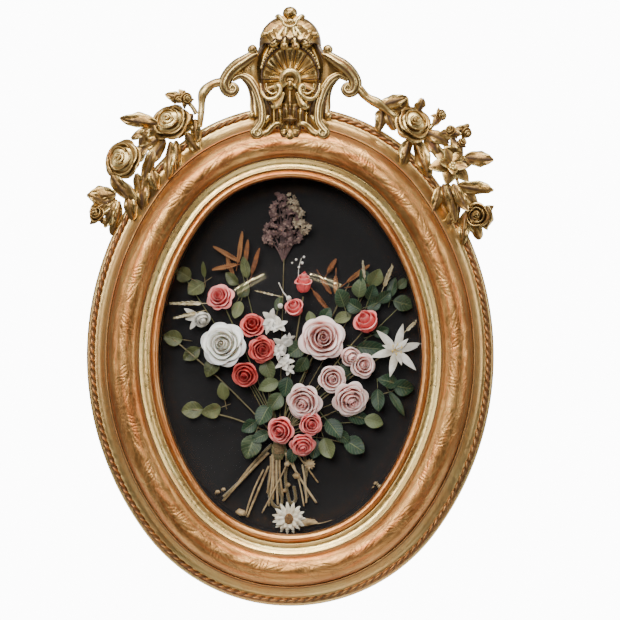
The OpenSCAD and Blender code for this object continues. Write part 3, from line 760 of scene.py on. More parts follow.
def seed_spike(soup, start, end, r, seeds, seed=1, **values):
    """A spike of small husks set spirally up a stalk."""
    start, end = np.array(start, float), np.array(end, float)
    way = end - start
    length = np.linalg.norm(way)
    tube(soup, [start - way * 0.5, start, end], [0.45, 0.4, 0.2], 6, kind=0.5)
    yaw, pitch = math.degrees(math.atan2(way[1], way[0])), math.degrees(math.asin(way[2] / length))
    for i in range(seeds):
        f = i / seeds
        size = r * (1 - 0.55 * f)
        about = 137.5 * i
        leaf(soup, start + way * f, yaw + 26 * math.sin(math.radians(about)), size * 3.1, size * 1.25,
             rise=pitch + 26 * math.cos(math.radians(about)), roll=about, fold=0.5, droop=-0.15, teeth=1,
             tooth=0,
             rows=6, seed=seed * 97 + i, kind=0.2 + 0.6 * f, **values)


# ---------------------------------------------------------------- bouquet: materials

def wax(name, heart, body, rim, gloss=0.36, glow=0.12):
    """Waxed petals: darker towards the heart, at the petal bases and on the inner rings (the wax's own deeper
    heart colour and painted shade deep in the cup), paler on the rims, with faint veins and thumb marks.
    """
    w = Paint(name, Coat_Weight=0.18, Coat_Roughness=0.25, Subsurface_Weight=glow)
    w.shader.inputs["Subsurface Radius"].default_value = (1.0, 0.45, 0.3)
    w.shader.inputs["Subsurface Scale"].default_value = 0.002
    edge, depth, tone = w.attribute("edge"), w.attribute("depth"), w.attribute("tone")
    color = w.mix(w.band(edge, 0.72, 1.0), body, rim)
    # Painted shade over the wax's own deeper heart colour: the petal bases and the inner rings take the heart
    # colour.
    color = w.mix(w.band(edge, 0.0, 0.62, 0.9, 0), color, heart)
    color = w.mix(w.band(depth, 0.0, 0.55, 0.5, 0), color, heart)
    color = w.mix(w.band(tone, 0.35, 1, 0, 0.3), color, tuple(0.62 * c for c in body))
    mottle = w.noise(170, 5, 0.6)
    color = w.mix(w.band(mottle, 0.55, 0.8, 0, 0.35), color, tuple(min(1, 1.25 * c + 0.03) for c in rim))
    return w.done(color, w.band(mottle, 0.3, 0.7, gloss - 0.06, gloss + 0.14),
                  w.bump(w.noise(900, 3), 0.0002, 0.5, w.bump(mottle, 0.0006, 0.4)))


def foliage(name, dark, mid, pale, other):
    """Waxed cotton leaves: pale rib and side veins, mottled blade, a shine on the raised parts."""
    f = Paint(name, Coat_Weight=0.12, Coat_Roughness=0.35)
    u = f.maths("ABSOLUTE", f.attribute("u"), 0)
    v, tone, kind = f.attribute("v"), f.attribute("tone"), f.attribute("kind")
    lines = f.maths("FRACT", f.maths("SUBTRACT", f.maths("MULTIPLY", v, 7.0),
                                     f.maths("MULTIPLY", u, 1.6)), 0)
    vein = f.band(f.maths("ABSOLUTE", f.maths("SUBTRACT", lines, 0.5), 0), 0.0, 0.13, 1, 0)
    rib = f.band(u, 0.0, 0.09, 1, 0)
    vein = f.maths("MAXIMUM", f.maths("MULTIPLY", vein, 0.55), rib)
    mottle = f.noise(130, 5, 0.65)
    color = f.mix(f.band(mottle, 0.38, 0.66), dark, mid)
    color = f.mix(f.band(kind, 0.0, 1.0), color,
                  f.mix(f.band(mottle, 0.4, 0.65), other, tuple(1.5 * c for c in other)))
    color = f.mix(f.band(tone, 0.5, 1, 0, 0.45), color, pale)
    color = f.mix(f.maths("MULTIPLY", vein, 0.5), color, pale)
    color = f.mix(f.band(f.noise(55, 3), 0.62, 0.78, 0, 0.5), color, (0.22, 0.12, 0.04))
    return f.done(color, f.band(mottle, 0.3, 0.7, 0.36, 0.6),
                  f.bump(vein, 0.0005, 0.8, f.bump(f.noise(800, 3), 0.0002, 0.4)))


def dried(name, dark, light, rim, rough=0.8, scale=180):
    d = Paint(name, Sheen_Weight=0.1)
    mottle = d.noise(scale, 5, 0.65)
    color = d.mix(d.band(mottle, 0.35, 0.65), dark, light)
    color = d.mix(d.band(d.attribute("tone"), 0.3, 1, 0, 0.6), color, rim)
    return d.done(color, d.band(mottle, 0.3, 0.7, rough - 0.1, rough + 0.1),
                  d.bump(d.noise(900, 4, 0.7), 0.0004, 0.8))


# ---------------------------------------------------------------- bouquet: arrangement

TIE = np.array((-14.0, -110.0, 28.0))


def make_roses():
    # colour group: (x, y, radius, height, foot above the ground, lean, side, rings)
    groups = {
        "rose_white": ("wax_white", [(-78, 12, 25, 27, 34, 6, -8, OPEN_ROSE)]),
        "rose_blush_large": ("wax_blush", [(37, 19, 25, 28, 36, 8, 4, OPEN_ROSE)]),
        "blush_roses": ("wax_blush", [(67, 2, 13, 22, 38, -14, 22, BUD),
                (84, -12, 14, 20, 38, 4, 14, CUP_ROSE),
                                      (48, -26, 15.5, 20, 42, -6, 8, CUP_ROSE),
                                              (70, -49, 20, 22, 40, -20, 12, OPEN_ROSE),
                                      (18, -52, 20, 24, 42, -16, -14, OPEN_ROSE)]),
        "red_roses": ("wax_red", [(-44, 33, 14, 19, 36, 22, -6, CUP_ROSE),
                                  (-35, 8, 15, 20, 38, -4, 8, OPEN_ROSE),
                                  (-53, -20, 15, 20, 38, -16, -6, CUP_ROSE)]),
        "coral_roses": ("wax_coral", [(-82, 67, 15, 20, 36, 18, -14, OPEN_ROSE),
                (-9, -87, 15, 22, 42, -8, -16, CUP_ROSE),
                                      (22, -80, 13, 20, 44, -4, 14, CUP_ROSE),
                                              (14, -102, 14, 20, 44, -26, 4, OPEN_ROSE)]),
        "rosebuds": ("wax_coral", [(94, 34, 16, 26, 36, 34, -24, BUD), (15, 76, 11, 26, 36, 62, 6, BUD),
                                   (7, 52, 12, 20, 38, 34, -16, BUD)]),
    }
    paints = {
        "wax_white": wax("ivory_wax", (0.86, 0.78, 0.60), (0.93, 0.90, 0.82), (0.97, 0.95, 0.91)),
        "wax_blush": wax("blush_wax", (0.74, 0.28, 0.25), (0.89, 0.54, 0.49), (0.94, 0.76, 0.71)),
        "wax_red": wax("red_wax", (0.26, 0.004, 0.006), (0.52, 0.018, 0.022), (0.74, 0.16, 0.13), 0.4, 0.05),
        "wax_coral": wax("coral_wax", (0.44, 0.018, 0.024), (0.78, 0.105, 0.105), (0.89, 0.34, 0.31),
                         0.38, 0.08),
    }
    for g, (node, (slot, roses)) in enumerate(groups.items()):
        soup = Soup()
        for i, (x, y, r, h, foot, lean, side, rings) in enumerate(roses):
            rose(soup, (x, y, foot), r, h, lean, side, 40 * i, rings, seed=100 * g + i + 3)
        thicken(soup.object("petals_" + node, paints[slot], stands_for=(node,),
                            slot="wax_blush" if node == "rosebuds" else slot), 0.45)


# Leaves by middle: (x, y, length, width, turn, kind), kind 0 olive to 1 deep green.
LEAVES = (
    (-128, 97, 22, 20, 150, 0), (-113, 80, 23, 21, 215, 0), (-103, 103, 20, 7, 95, 0.1),
            (-140, 21, 23, 20, 170, 0.1),
    (-118, 2, 24, 17, 215, 0.1), (-94, -14, 24, 19, 235, 0.2), (-80, -42, 22, 15, 100, 0.1),
            (-117, -65, 26, 21, 185, 0),
    (-94, -66, 24, 19, 200, 0.1), (-70, 91, 20, 14, 140, 0.3), (-54, 105, 26, 12, 100, 0.2),
            (-56, 78, 20, 16, 60, 0.4),
    (-63, 54, 22, 15, 250, 0.5), (-27, -16, 24, 20, 290, 0.8), (-26, -35, 25, 17, 200, 0.9),
            (-5, -37, 24, 19, 260, 1),
    (-18, -55, 25, 20, 235, 0.9), (-32, -71, 27, 22, 240, 0.8), (-49, -84, 22, 17, 215, 0.9),
            (-47, -108, 30, 25, 250, 0.6),
    (-36, -96, 22, 15, 200, 0.8), (7, 7, 24, 21, 215, 0.7), (14, -11, 22, 18, 240, 1),
            (60, 69, 24, 21, 110, 1),
    (82, 80, 23, 19, 85, 0.9), (101, 93, 24, 20, 60, 0.8), (75, 59, 22, 19, 150, 1), (96, 75, 20, 17, 70, 1),
    (99, 61, 20, 17, 20, 0.9), (62, 45, 22, 15, 200, 0.3), (121, 81, 24, 13, 80, 0.8),
            (134, 62, 25, 20, -15, 0.7),
    (134, 86, 18, 12, 45, 0.8), (112, 70, 20, 16, 40, 1), (88, 94, 18, 14, 110, 0.9), (97, 8, 36, 20, -8, 1),
    (116, -30, 24, 19, 160, 1), (134, -38, 26, 21, -12, 0.9), (104, -53, 27, 17, -88, 0.9),
            (127, -57, 34, 10, -56, 0.8),
    (52, -87, 28, 22, -50, 1), (80, -73, 27, 19, -12, 1), (99, -78, 24, 18, -16, 0.9),
            (29, -111, 24, 19, -100, 0.9),
    (44, -110, 26, 21, -70, 0.6), (76, -107, 28, 23, -30, 1), (62, -96, 20, 15, -40, 1),
            (42, 48, 20, 16, 60, 1),
    (24, 44, 18, 13, 100, 0.9), (-14, 62, 18, 11, 80, 0.6), (108, 28, 20, 15, 20, 1),
            (64, -20, 20, 16, -60, 1),
    (2, -118, 20, 14, -100, 1), (-70, -2, 18, 14, 270, 0.7))

# Where the stems end: (x, y, height).
STEM_ENDS = ((-128, 96, 32), (-140, 20, 32), (-117, -64, 32), (-82, 66, 36), (-78, 12, 34),
             (-53, -20, 38), (-35, 8, 38),
             (-44, 33, 36), (15, 70, 36), (37, 19, 36), (60, 69, 33), (101, 93, 33), (134, 62, 33),
             (94, 38, 36),
             (120, 7, 36), (84, -12, 38), (134, -38, 33), (70, -49, 40), (100, -78, 33), (-9, -87, 40),
             (22, -80, 42),
             (-47, -106, 32), (76, -107, 33), (-8, 115, 26), (-60, 108, 26), (70, 86, 27))


def make_leaves():
    green = foliage("leaf_cloth", (0.042, 0.047, 0.012), (0.098, 0.104, 0.031), (0.23, 0.25, 0.10),
                    (0.009, 0.030, 0.012))
    blades, stalks = Soup(), Soup()
    for i, (x, y, length, width, turn, kind) in enumerate(LEAVES):
        rng = random.Random(i)
        a = math.radians(turn)
        z = 29 + 6 * rng.random() + (4 if kind > 0.5 else 0)
        root = np.array((x - length / 2 * math.cos(a), y - length / 2 * math.sin(a), z))
        leaf(blades, root, turn, length, width, rise=rng.uniform(-2, 24), roll=rng.uniform(-24, 24),
             seed=i + 11,
             droop=rng.uniform(0.02, 0.3), kind=kind)
        back = root - np.array((math.cos(a), math.sin(a), 0)) * 12 + (0, 0, -4)
        tube(stalks, curve([back, (root + back) / 2 + (0, 0, 1), root + (math.cos(a), math.sin(a), 0)], 7),
             [0.45] * 6 + [0.2], 6, kind=kind)
    thicken(blades.object("leaf_blades", green, stands_for=("rose_leaves",), slot="leaf_green"), 0.35)

    for i, end in enumerate(STEM_ENDS):
        start = TIE + (4.0 * math.cos(i * 2.4), -14, 3.0 * math.sin(i * 2.4))
        neck = TIE + (3.4 * math.cos(i * 2.4), 10, 2.6 * math.sin(i * 2.4))
        middle = (neck + end) / 2 + (0, 6, -3 + 2 * math.sin(i))
        tube(stalks, curve([start, neck, middle, np.array(end, float)], 18), 0.75 + 0.2 * math.sin(i), 7,
             kind=0.3 + 0.5 * (i % 3 == 0))
    stem = Paint("wire_wrap")
    color = stem.mix(stem.attribute("kind"), (0.17, 0.125, 0.06), (0.105, 0.12, 0.045))
    color = stem.mix(stem.band(stem.noise(400, 4), 0.5, 0.7), color, (0.20, 0.16, 0.08))
    stem.done(color, 0.7, stem.bump(stem.noise(1200), 0.0003, 0.8))
    stalks.object("stems_and_stalks", stem.material, stands_for=("wire_stems",), slot="stem_green")


def make_binding():
    thread = Paint("linen_thread", Roughness=0.85)
    thread.done(thread.mix(thread.noise(700), (0.16, 0.10, 0.045), (0.34, 0.24, 0.12)), None,
                thread.bump(thread.noise(2500), 0.0003, 0.9))
    a = np.linspace(0, 9 * TAU, 360)
    path = np.stack([5.7 * np.cos(a), 6 - 13 * a / a[-1] + 0.4 * np.sin(a * 1.3), 4.9 * np.sin(a)], -1) + TIE
    soup = Soup()
    tube(soup, path, 0.8, 8, lobes=3, lobe_depth=0.2, twist=90)
    soup.object("tie_thread", thread.material, stands_for=("stem_binding",), slot="stem_green")


def make_white_flowers():
    white = dried("waxed_white", (0.52, 0.47, 0.38), (0.74, 0.71, 0.64), (0.84, 0.82, 0.77), 0.5, 90)
    yellow = dried("stamens", (0.55, 0.36, 0.08), (0.75, 0.56, 0.16), (0.8, 0.66, 0.3))
    lily = Soup()
    star_flower(lily, (125, 6, 40), 31, 6, 10, lean=8, side=12, turn=14, cup=28, seed=4)
    star_flower(lily, (125, 6, 41), 19, 3, 7, lean=8, side=12, turn=44, cup=45, seed=9)
    thicken(lily.object("lily_petals", white, stands_for=("lily",), slot="wax_white"), 0.5)
    heart = Soup()
    for i in range(6):
        a = TAU * i / 6 + 0.4
        tip = np.array((124 + 2 + 6 * math.cos(a), 8 + 6 * math.sin(a), 56))
        tube(heart, curve([(124, 7, 42), (124 + 3 * math.cos(a), 7 + 3 * math.sin(a), 50), tip], 8), 0.4, 6)
        blob(heart, tip, (0.8, 2.0, 0.8), seed=i)
    heart.object("lily_stamens", yellow, stands_for=("lily",), slot="dried")

    bell = Soup()
    rose(bell, (-107, 47, 37), 11, 15, -34, 22, 20, BUD, seed=44)
    for i, (turn, length) in enumerate(((150, 20), (190, 16), (235, 18))):
        leaf(bell, (-109, 46, 37), turn, length, 7, rise=10, teeth=1, tooth=0, rows=11, seed=40 + i)
    thicken(bell.object("bell_petals", white, stands_for=("bellflower",), slot="wax_white"), 0.4)

    stars = Soup()
    places = ((-24, 44, 12), (-14, 36, 11), (-26, 34, 9), (-10, 14, 12), (-2, 20, 8), (-14, 4, 9),
              (-7, -8, 12), (-2, -16, 8))
    for i, (x, y, r) in enumerate(places):
        star_flower(stars, (x, y, 41 + i % 3), r, 5, 0.62 * r, lean=34 * math.sin(i * 1.3),
                    side=30 * math.cos(i * 1.7),
                    turn=25 * i, cup=26, seed=60 + i)
        star_flower(stars, (x, y, 42 + i % 3), 0.6 * r, 4, 0.42 * r, lean=34 * math.sin(i * 1.3),
                    side=30 * math.cos(i * 1.7), turn=40 + 25 * i, cup=46, seed=80 + i)
    for x, y, r in ((-2, 68, 3.2), (-12, 59, 3.2), (6.7, 114, 1.4), (13.8, 110, 1.7), (16, 117, 1.3),
                    (10, 105, 1.3), (2, 110, 1.1)):
        blob(stars, (x, y, 38), (r, r, r), seed=int(9 * r))
    tube(stars, curve([(-14, 87, 38), (-9, 76, 38), (-3, 66, 37), (-6, 50, 36)], 20), 0.6, 6)
    tube(stars, curve([(13, 116, 36), (10, 104, 36), (9, 86, 34)], 14), 0.4, 6)
    thicken(stars.object("jasmine_stars", white, stands_for=("jasmine",), slot="wax_white"), 0.35)


def make_dried():
    rust = dried("dried_fern", (0.11, 0.034, 0.009), (0.24, 0.080, 0.022), (0.33, 0.15, 0.05))
    ferns = Soup()
    blades = ((-61, 112, 150, 36), (-64, 108, 190, 30), (-63, 110, 80, 38), (-54, 110, 83, 28),
              (-46, 97, 75, 32),
              (-68, 96, 112, 24), (67, 87, 38, 34), (36, 94, -60, 24), (54, 95, -92, 22), (27, 77, -52, 30),
              (44, 98, 60, 20), (74, 82, 8, 24))
    for i, (x, y, turn, length) in enumerate(blades):
        leaf(ferns, (x, y, 32 - 0.4 * i), turn, length, 5.6, rise=8, roll=14 * math.sin(i), fold=0.35,
             droop=0.16,
             teeth=int(length / 2.4), tooth=0.34, blunt=0.42, rows=49, wave=0.16, seed=i)
        a = math.radians(turn)
        root = np.array((x - 10 * math.cos(a), y - 10 * math.sin(a), 27))
        tube(ferns, curve([root, (x, y, 31), (x + 0.5 * length * math.cos(a),
                y + 0.5 * length * math.sin(a), 34)], 8),
             [0.6] * 7 + [0.3], 6)
    thicken(ferns.object("fern_blades", rust, stands_for=("fern_fronds",), slot="fern"), 0.3)

    husk = dried("cream_husks", (0.44, 0.34, 0.17), (0.66, 0.57, 0.36), (0.80, 0.74, 0.54))
    spikes = Soup()
    for i, (a, b, r, n) in enumerate((((-106, 62, 40), (-140, 62, 42), 3.8, 34),
            ((-112, 51, 38), (-136, 45, 40), 3.4, 26),
                                      ((88, 92, 38), (86, 110, 42), 2.8, 26),
                                              ((111, 82, 38), (120, 104, 41), 4.2, 28),
                                      ((138, 30, 38), (149, 40, 41), 3.4, 18),
                                              ((-20, 72, 36), (-42, 77, 38), 1.9, 20))):
        seed_spike(spikes, a, b, r, n, seed=i + 1)
    spikes.object("catkin_spikes", husk, stands_for=("catkins",), slot="dried")

    mauve = dried("statice", (0.055, 0.026, 0.024), (0.16, 0.088, 0.080), (0.32, 0.21, 0.17), 0.85, 140)
    spray = Soup()
    rng = random.Random(5)
    tufts = Soup()
    lobes = ((-14, 185, 8, 0), (-17, 170, 9, 0), (-7, 176, 6, 0), (-15, 158, 8, 0), (1, 166, 8, 0),
             (-22, 149, 8, 0),
             (-4, 152, 10, 0), (-25, 139, 7, 0), (-7, 138, 9, 0), (6, 142, 6, 0), (0, 188, 4, 1),
             (3, 180, 5, 1),
             (8, 169, 6, 1), (11, 158, 6, 1), (18, 151, 6, 1), (4, 176, 4, 1))
    for x, y, r, pale in lobes:
        for _ in range(int(1.2 * r)):
            a, b = rng.uniform(0, TAU), math.acos(rng.uniform(0.0, 1.0))
            at = np.array((x + r * math.sin(b) * math.cos(a), y + r * math.sin(b) * math.sin(a),
                           24 + 13 * math.cos(b)))
            star_flower(tufts if pale else spray, at, rng.uniform(2.8, 4.8), 5, 2.9,
                        lean=40 * math.sin(b) * math.sin(a),
                        side=40 * math.sin(b) * math.cos(a), turn=rng.uniform(0, 72), cup=40,
                        seed=rng.randrange(9999))
        tube(spray, curve([(-9, 112, 24), (x * 0.4 - 5, (y + 112) / 2, 26), (x, y, 27)], 12), 0.8, 6)
    thicken(spray.object("statice_florets", mauve, stands_for=("dried_spray",), slot="dried"), 0.25, 0)
    straw = dried("statice_cream", (0.14, 0.095, 0.06), (0.33, 0.25, 0.165), (0.54, 0.45, 0.31), 0.85, 140)
    thicken(tufts.object("statice_pale", straw, stands_for=("dried_spray",), slot="dried"), 0.25, 0)


def make_daisy():
    cream = dried("straw_petals", (0.60, 0.52, 0.36), (0.80, 0.74, 0.58), (0.88, 0.84, 0.72), 0.6)
    brown = dried("daisy_heart", (0.09, 0.04, 0.012), (0.24, 0.12, 0.035), (0.36, 0.22, 0.08))
    petals, heart = Soup(), Soup()
    for ring, (count, length, rise, z) in enumerate(((15, 20, 4, 32), (13, 17, 16, 33), (10, 13, 30, 34))):
        for i in range(count):
            leaf(petals, (-2, -194, z), 360 * (i + 0.4 * ring) / count, length, 5.4, rise=rise,
                 fold=-0.25, droop=0.12,
                 teeth=1, tooth=0, blunt=0.5, rows=10, seed=ring * 40 + i)
    for i in range(90):
        r, a = 6.4 * math.sqrt(i / 90), 2.39996 * i
        blob(heart, (-2 + 0.8 * r * math.cos(a), -194 + r * math.sin(a), 39 - r * r * 0.05),
             (0.72, 0.72, 1.3), seed=i,
             sides=8)
    thicken(petals.object("daisy_petals", cream, stands_for=("straw_daisy",), slot="dried"), 0.3)
    heart.object("daisy_heart_seeds", brown, stands_for=("straw_daisy",), slot="dried")


def make_cords():
    gold = Paint("chenille", Roughness=0.75, Sheen_Weight=0.5)
    fuzz = gold.noise(1500, 4, 0.7)
    color = gold.mix(gold.band(fuzz, 0.35, 0.65), (0.045, 0.030, 0.008), (0.30, 0.21, 0.07))
    gold.done(color, None, gold.bump(fuzz, 0.0008, 1.0))
    soup = Soup()
    routes = (((-22, -106), (-32, -116), (-40, -128), (-52, -142), (-66, -156), (-80, -169)),
              ((-18, -106), (-20, -122), (-24, -140), (-26, -160), (-22, -176), (-14, -182), (-10, -172),
               (-14, -158), (-16, -140), (-14, -122)),
              ((-8, -106), (-4, -124), (-6, -144), (-4, -162), (0, -176), (6, -172), (4, -156)),
              ((10, -108), (17, -122), (19, -138), (17, -154), (20, -170)))
    for k, route in enumerate(routes):
        path = curve([(x, y, 24.5 + 1.5 * math.sin(1.7 * i + k)) for i, (x, y) in enumerate(route)],
                     30 * len(route))
        run = np.linspace(0, 1, len(path))
        tube(soup, path, 2.0 + 0.2 * np.sin(run * 300), 12, lobes=3, lobe_depth=0.22, twist=5.5 * len(route))
    soup.object("chenille_cords", gold.material, stands_for=("lace_ribbon",), slot="chenille")


def make_straw():
    tan = dried("straw_stalks", (0.20, 0.125, 0.055), (0.44, 0.31, 0.15), (0.60, 0.47, 0.27), 0.55)
    soup = Soup()
    straws = (((-26, -116), (-80, -173), 1.6), ((-24, -120), (-28, -164), 1.0),
              ((-22, -118), (-26, -180), 1.0),
              ((-26, -132), (-52, -194), 1.3), ((-32, -136), (-54, -192), 1.1),
              ((-6, -116), (31, -176), 1.4),
              ((8, -118), (33, -152), 0.9), ((2, -116), (-34, -188), 0.9), ((-2, -116), (16, -180), 0.9),
              ((-21, -112), (-21, -172), 1.3), ((-16, -112), (-15, -178), 1.4),
              ((-12, -112), (-9, -168), 1.2),
              ((-29, -112), (-68, -160), 1.2), ((14, -130), (19, -176), 1.2))
    for i, (a, b, r) in enumerate(straws):
        start, end = np.array((*a, 26.0 + i % 3)), np.array((*b, 24.0 + 1.5 * (i % 2)))
        t = np.linspace(0, 1, 24)[:, None]
        bow = np.array((1.5 * math.sin(i), 1.0, 1.5))
        path = start + (end - start) * t + bow * np.sin(math.pi * t) * 1.5
        knots = 1 + 0.25 * np.exp(-((t[:, 0] - 0.45) / 0.02) ** 2)
        tube(soup, path, r * knots, 8, lobes=5, lobe_depth=0.06, tone=(i * 0.37) % 1)
    berries = ((-60, -188, 27, 6), (-4, -129, 34, 3.6), (7, -143, 30, 4.6), (-3, -154, 30, 3),
               (-7, -161, 29, 3),
               (23, -129, 30, 5), (102, -153, 25, 3.2), (107, -157, 25, 2.6), (99, -158, 24.5, 2.2),
               (-87, -163, 26, 2.8),
               (-80, -160, 26, 2.6), (15, -55, 46, 0.1))
    for i, (x, y, z, r) in enumerate(berries[:-1]):
        blob(soup, (x, y, z), (r, r * 0.86, r * 0.9), seed=i)
    for i in range(11):
        leaf(soup, (23, -129, 31), 360 / 11 * i, 7, 3, rise=24, rows=8, teeth=1, tooth=0, seed=i)
    blob(soup, (18, -199, 27), (14, 4.6, 4.5), seed=3, lobes=8, sides=30)
    tube(soup, curve([(8, -198, 28), (32, -201, 29), (50, -198, 27)], 14), np.linspace(1.3, 0.6, 14), 8)
    soup.object("straw_and_seed_heads", tan, stands_for=("straw_and_seeds",), slot="straw")


# ---------------------------------------------------------------- crest

def mirrored(points, side):
    return [(side * p[0],) + tuple(p[1:]) for p in points]


CREST_HALF_W = ((256, 20), (262, 25), (270, 28), (280, 28), (290, 29), (300, 33), (310, 38), (320, 44),
                (330, 49),
                (340, 49), (350, 45), (360, 38), (372, 33), (384, 25), (392, 14))


def carve_body(soup):
    """The slab of the crest: fluted apron, rolled edges and the central tongue below the shell."""
    y = np.linspace(257, 391, 210)[:, None]
    u = np.linspace(-1, 1, 150)[None]
    half = np.interp(y, *zip(*CREST_HALF_W))
    x = u * half
    e = np.abs(u)
    flutes = 1.5 * np.cos(TAU * x / 7.6) * smooth(300, 288, y) * smooth(21, 18, np.abs(x))
    ridge = 4.5 * np.exp(-((e - 0.84) / 0.075) ** 2) - 2.5 * np.exp(-((e - 0.68) / 0.05) ** 2)
    tongue_w = np.interp(y, (270, 284, 296, 312, 322), (12, 11, 8.5, 7.5, 7))
    tongue = 9 * np.exp(-(x / tongue_w) ** 2) * smooth(268, 290, y) * smooth(326, 312, y)
    z = 62.5 + 18 * (1 - e**5) ** 0.5 + ridge + tongue + flutes
    z -= 6 * smooth(0.98, 0.8, np.hypot(x / 36, (y - 326) / 40))
    soup.grid(np.stack([x, y + 0 * x, z], -1))
    soup.grid(np.stack([x, y + 0 * x, 62.2 + 0 * x], -1)[:, ::149])
    for k in (0, -1):
        edge = np.stack([x[k], y[k] + 0 * x[k], z[k]], -1)
        soup.grid(np.stack([edge, edge * (1, 1, 0) + (0, 0, 62.2)]))


def carve_shell(soup):
    """Concave flutes fanning from the boss to a beaded rim, under the hood."""
    theta = np.radians(np.linspace(-52, 232, 341))[:, None]
    t = np.linspace(0, 1, 42)[None]
    gores = 11
    phase = (np.degrees(theta) + 52) / 284 * gores
    ridge = np.abs(np.sin(math.pi * phase))
    edge_x, edge_y = 33.5 + 1.2 * ridge, 39 + 1.2 * ridge
    r = 0.27 + 0.73 * t
    x, y = edge_x * r * np.cos(theta), 323 + edge_y * r * np.sin(theta)
    z = 79.5 + 8.5 * t**1.7 - 4.6 * np.minimum(ridge,
            0.93) ** 0.6 * (0.35 + 0.65 * np.sin(math.pi * np.minimum(t * 0.7 + 0.1, 0.5)))
    z = z + 3.4 * np.exp(-((t - 0.95) / 0.05) ** 2)
    soup.grid(np.stack([x, y, z], -1))
    for i in range(26):
        a = math.radians(18 + 144 * i / 25)
        if abs(math.cos(a)) > 0.38:
            blob(soup, (35.2 * math.cos(a), 323 + 40.6 * math.sin(a), 90.5), (1.6, 1.6, 1.6), sides=10,
                 lumps=0)
    arch = [(8.8 * math.cos(a), 322 + 9.2 * math.sin(a), 86 + 1.5 * math.sin(a))
            for a in np.radians(np.arange(-58, 239, 12))]
    tube(soup, arch, 5.0, 18)
    blob(soup, (0, 316, 84), (4.6, 6.5, 4.5), lumps=0.02, sides=20)
    for side in (-1, 1):
        lip = [(34.5, 318, 84), (33, 308, 87), (27, 300, 88.5), (19, 300, 89.5), (13, 305, 90),
               (11.5, 312, 89.5),
               (15, 315, 89), (17, 311.5, 88.5), (15, 309.5, 88.5)]
        tube(soup, curve(mirrored(lip, side), 64),
             np.interp(np.linspace(0, 1, 64), (0, 0.3, 0.7, 1), (1.4, 2.6, 3.0, 1.6)), 12)
        inner = [(28, 318, 84), (26, 309, 86), (20, 305.5, 87), (15, 308, 87)]
        tube(soup, curve(mirrored(inner, side), 30), np.linspace(0.9, 1.7, 30), 10)


def carve_hood(soup):
    """A canopy of radiating leaves whose lower edge rolls over the shell in knobs."""
    s = np.linspace(-1, 1, 241)[:, None]
    t = np.linspace(0, 1.22, 46)[None]
    top_x, top_y = 36.5 * np.sin(s * math.pi / 2), 362 + 37 * np.abs(np.cos(s * math.pi / 2)) ** 0.85
    knob = 0.5 + 0.5 * np.cos(TAU * 2.5 * s)
    lip_x = 28.5 * s
    lip_y = 361.5 + 6.5 * (1 - s**2) + 3.6 * (1 - knob) * (1 - 0.4 * np.abs(s))
    inner = np.minimum(t, 1)
    gutter = np.abs(np.cos(math.pi * 4.5 * s)) ** 0.5
    x = top_x + (lip_x - top_x) * inner
    y = top_y + (lip_y - top_y) * inner**1.15
    z = 74 + 20 * np.sin(math.pi / 2 * inner) ** 0.7 + 4.5 * inner**3 + (gutter
            - 0.6) * 3.2 * np.sin(math.pi * inner * 0.85 + 0.2)
    curl = np.clip(t - 1, 0, 1) / 0.22 * math.pi
    y = y - 3.4 * np.sin(curl) * (0.7 + 0.4 * knob) + 3.0 * (1 - np.cos(curl)) / 2
    z = z - 4.6 * (1 - np.cos(curl)) - 2.0 * np.abs(s) ** 4 * inner
    soup.grid(np.stack([x + 0 * z, y, z], -1))
    for side in (-1, 1):
        for turn, length, width, z in ((-84, 27, 13, 97), (-56, 30, 16, 96), (-28, 30, 17, 91)):
            way = turn if side > 0 else 180 - turn
            leaf(soup, (side * 4, 388 + turn / 30, z), way, length, width, rise=5, fold=-0.42, droop=0.10,
                 teeth=3,
                 tooth=0.06, blunt=0.55, rows=31, seed=int(length + width))
            a = math.radians(way)
            tip = (side * 4 + 0.93 * length * math.cos(a), 388 + turn / 30 + 0.93 * length * math.sin(a),
                   z - 2.5)
            blob(soup, tip, (width * 0.36, 4.2, 4.4), lumps=0.06, seed=int(length))
    blob(soup, (0, 388.5, 96), (4.6, 3.4, 3.2), lumps=0.03)
    tube(soup, [(7.4 * math.cos(a), 388 + 5.2 * math.sin(a), 96)
                for a in np.radians(np.arange(-200, 21, 11))], 1.8, 10)


def carve_finial(soup):
    s = np.linspace(0, 1, 36)[None]
    a = np.linspace(TAU, 0, 72, endpoint=False)[:, None]
    ball = np.sqrt(np.clip(1 - ((s - 0.55) / 0.452) ** 2, 0, 1))
    radius = np.maximum(8.5 * ball, 4.6 * smooth(0.3, 0.1, s)) + 0.15
    radius = radius * (1 - 0.12 * np.abs(np.cos(2.5 * a)) * smooth(0.62, 0.3, s))
    y = 390 + 18 * s
    p = np.stack([radius * np.cos(a), y + 0 * a, 80 + 0.92 * radius * np.sin(a)], -1)
    index = soup.grid(p, wrap_u=True)
    soup.cap(index[:, 0], flip=True)
    soup.cap(index[:, -1])
    for side in (-1, 1):
        way = 90 - side * 58
        leaf(soup, (side * 2, 388, 87), way, 18, 9, rise=-8, fold=-0.5, droop=0.2, teeth=3, tooth=0.08,
             rows=25, seed=5)
        leaf(soup, (side * 3, 386, 88), way - side * 30, 20, 9, rise=-4, fold=-0.5, droop=0.3, teeth=3,
             tooth=0.08,
             rows=25, seed=6)
        flank = [(3, 388, 86), (8, 390.5, 86), (12, 395.5, 83), (14.5, 397, 81), (16.5, 394.5, 80.5)]
        tube(soup, curve(mirrored(flank, side), 36),
             np.interp(np.linspace(0, 1, 36), (0, 0.5, 1), (1.6, 2.6, 2.0)), 12)


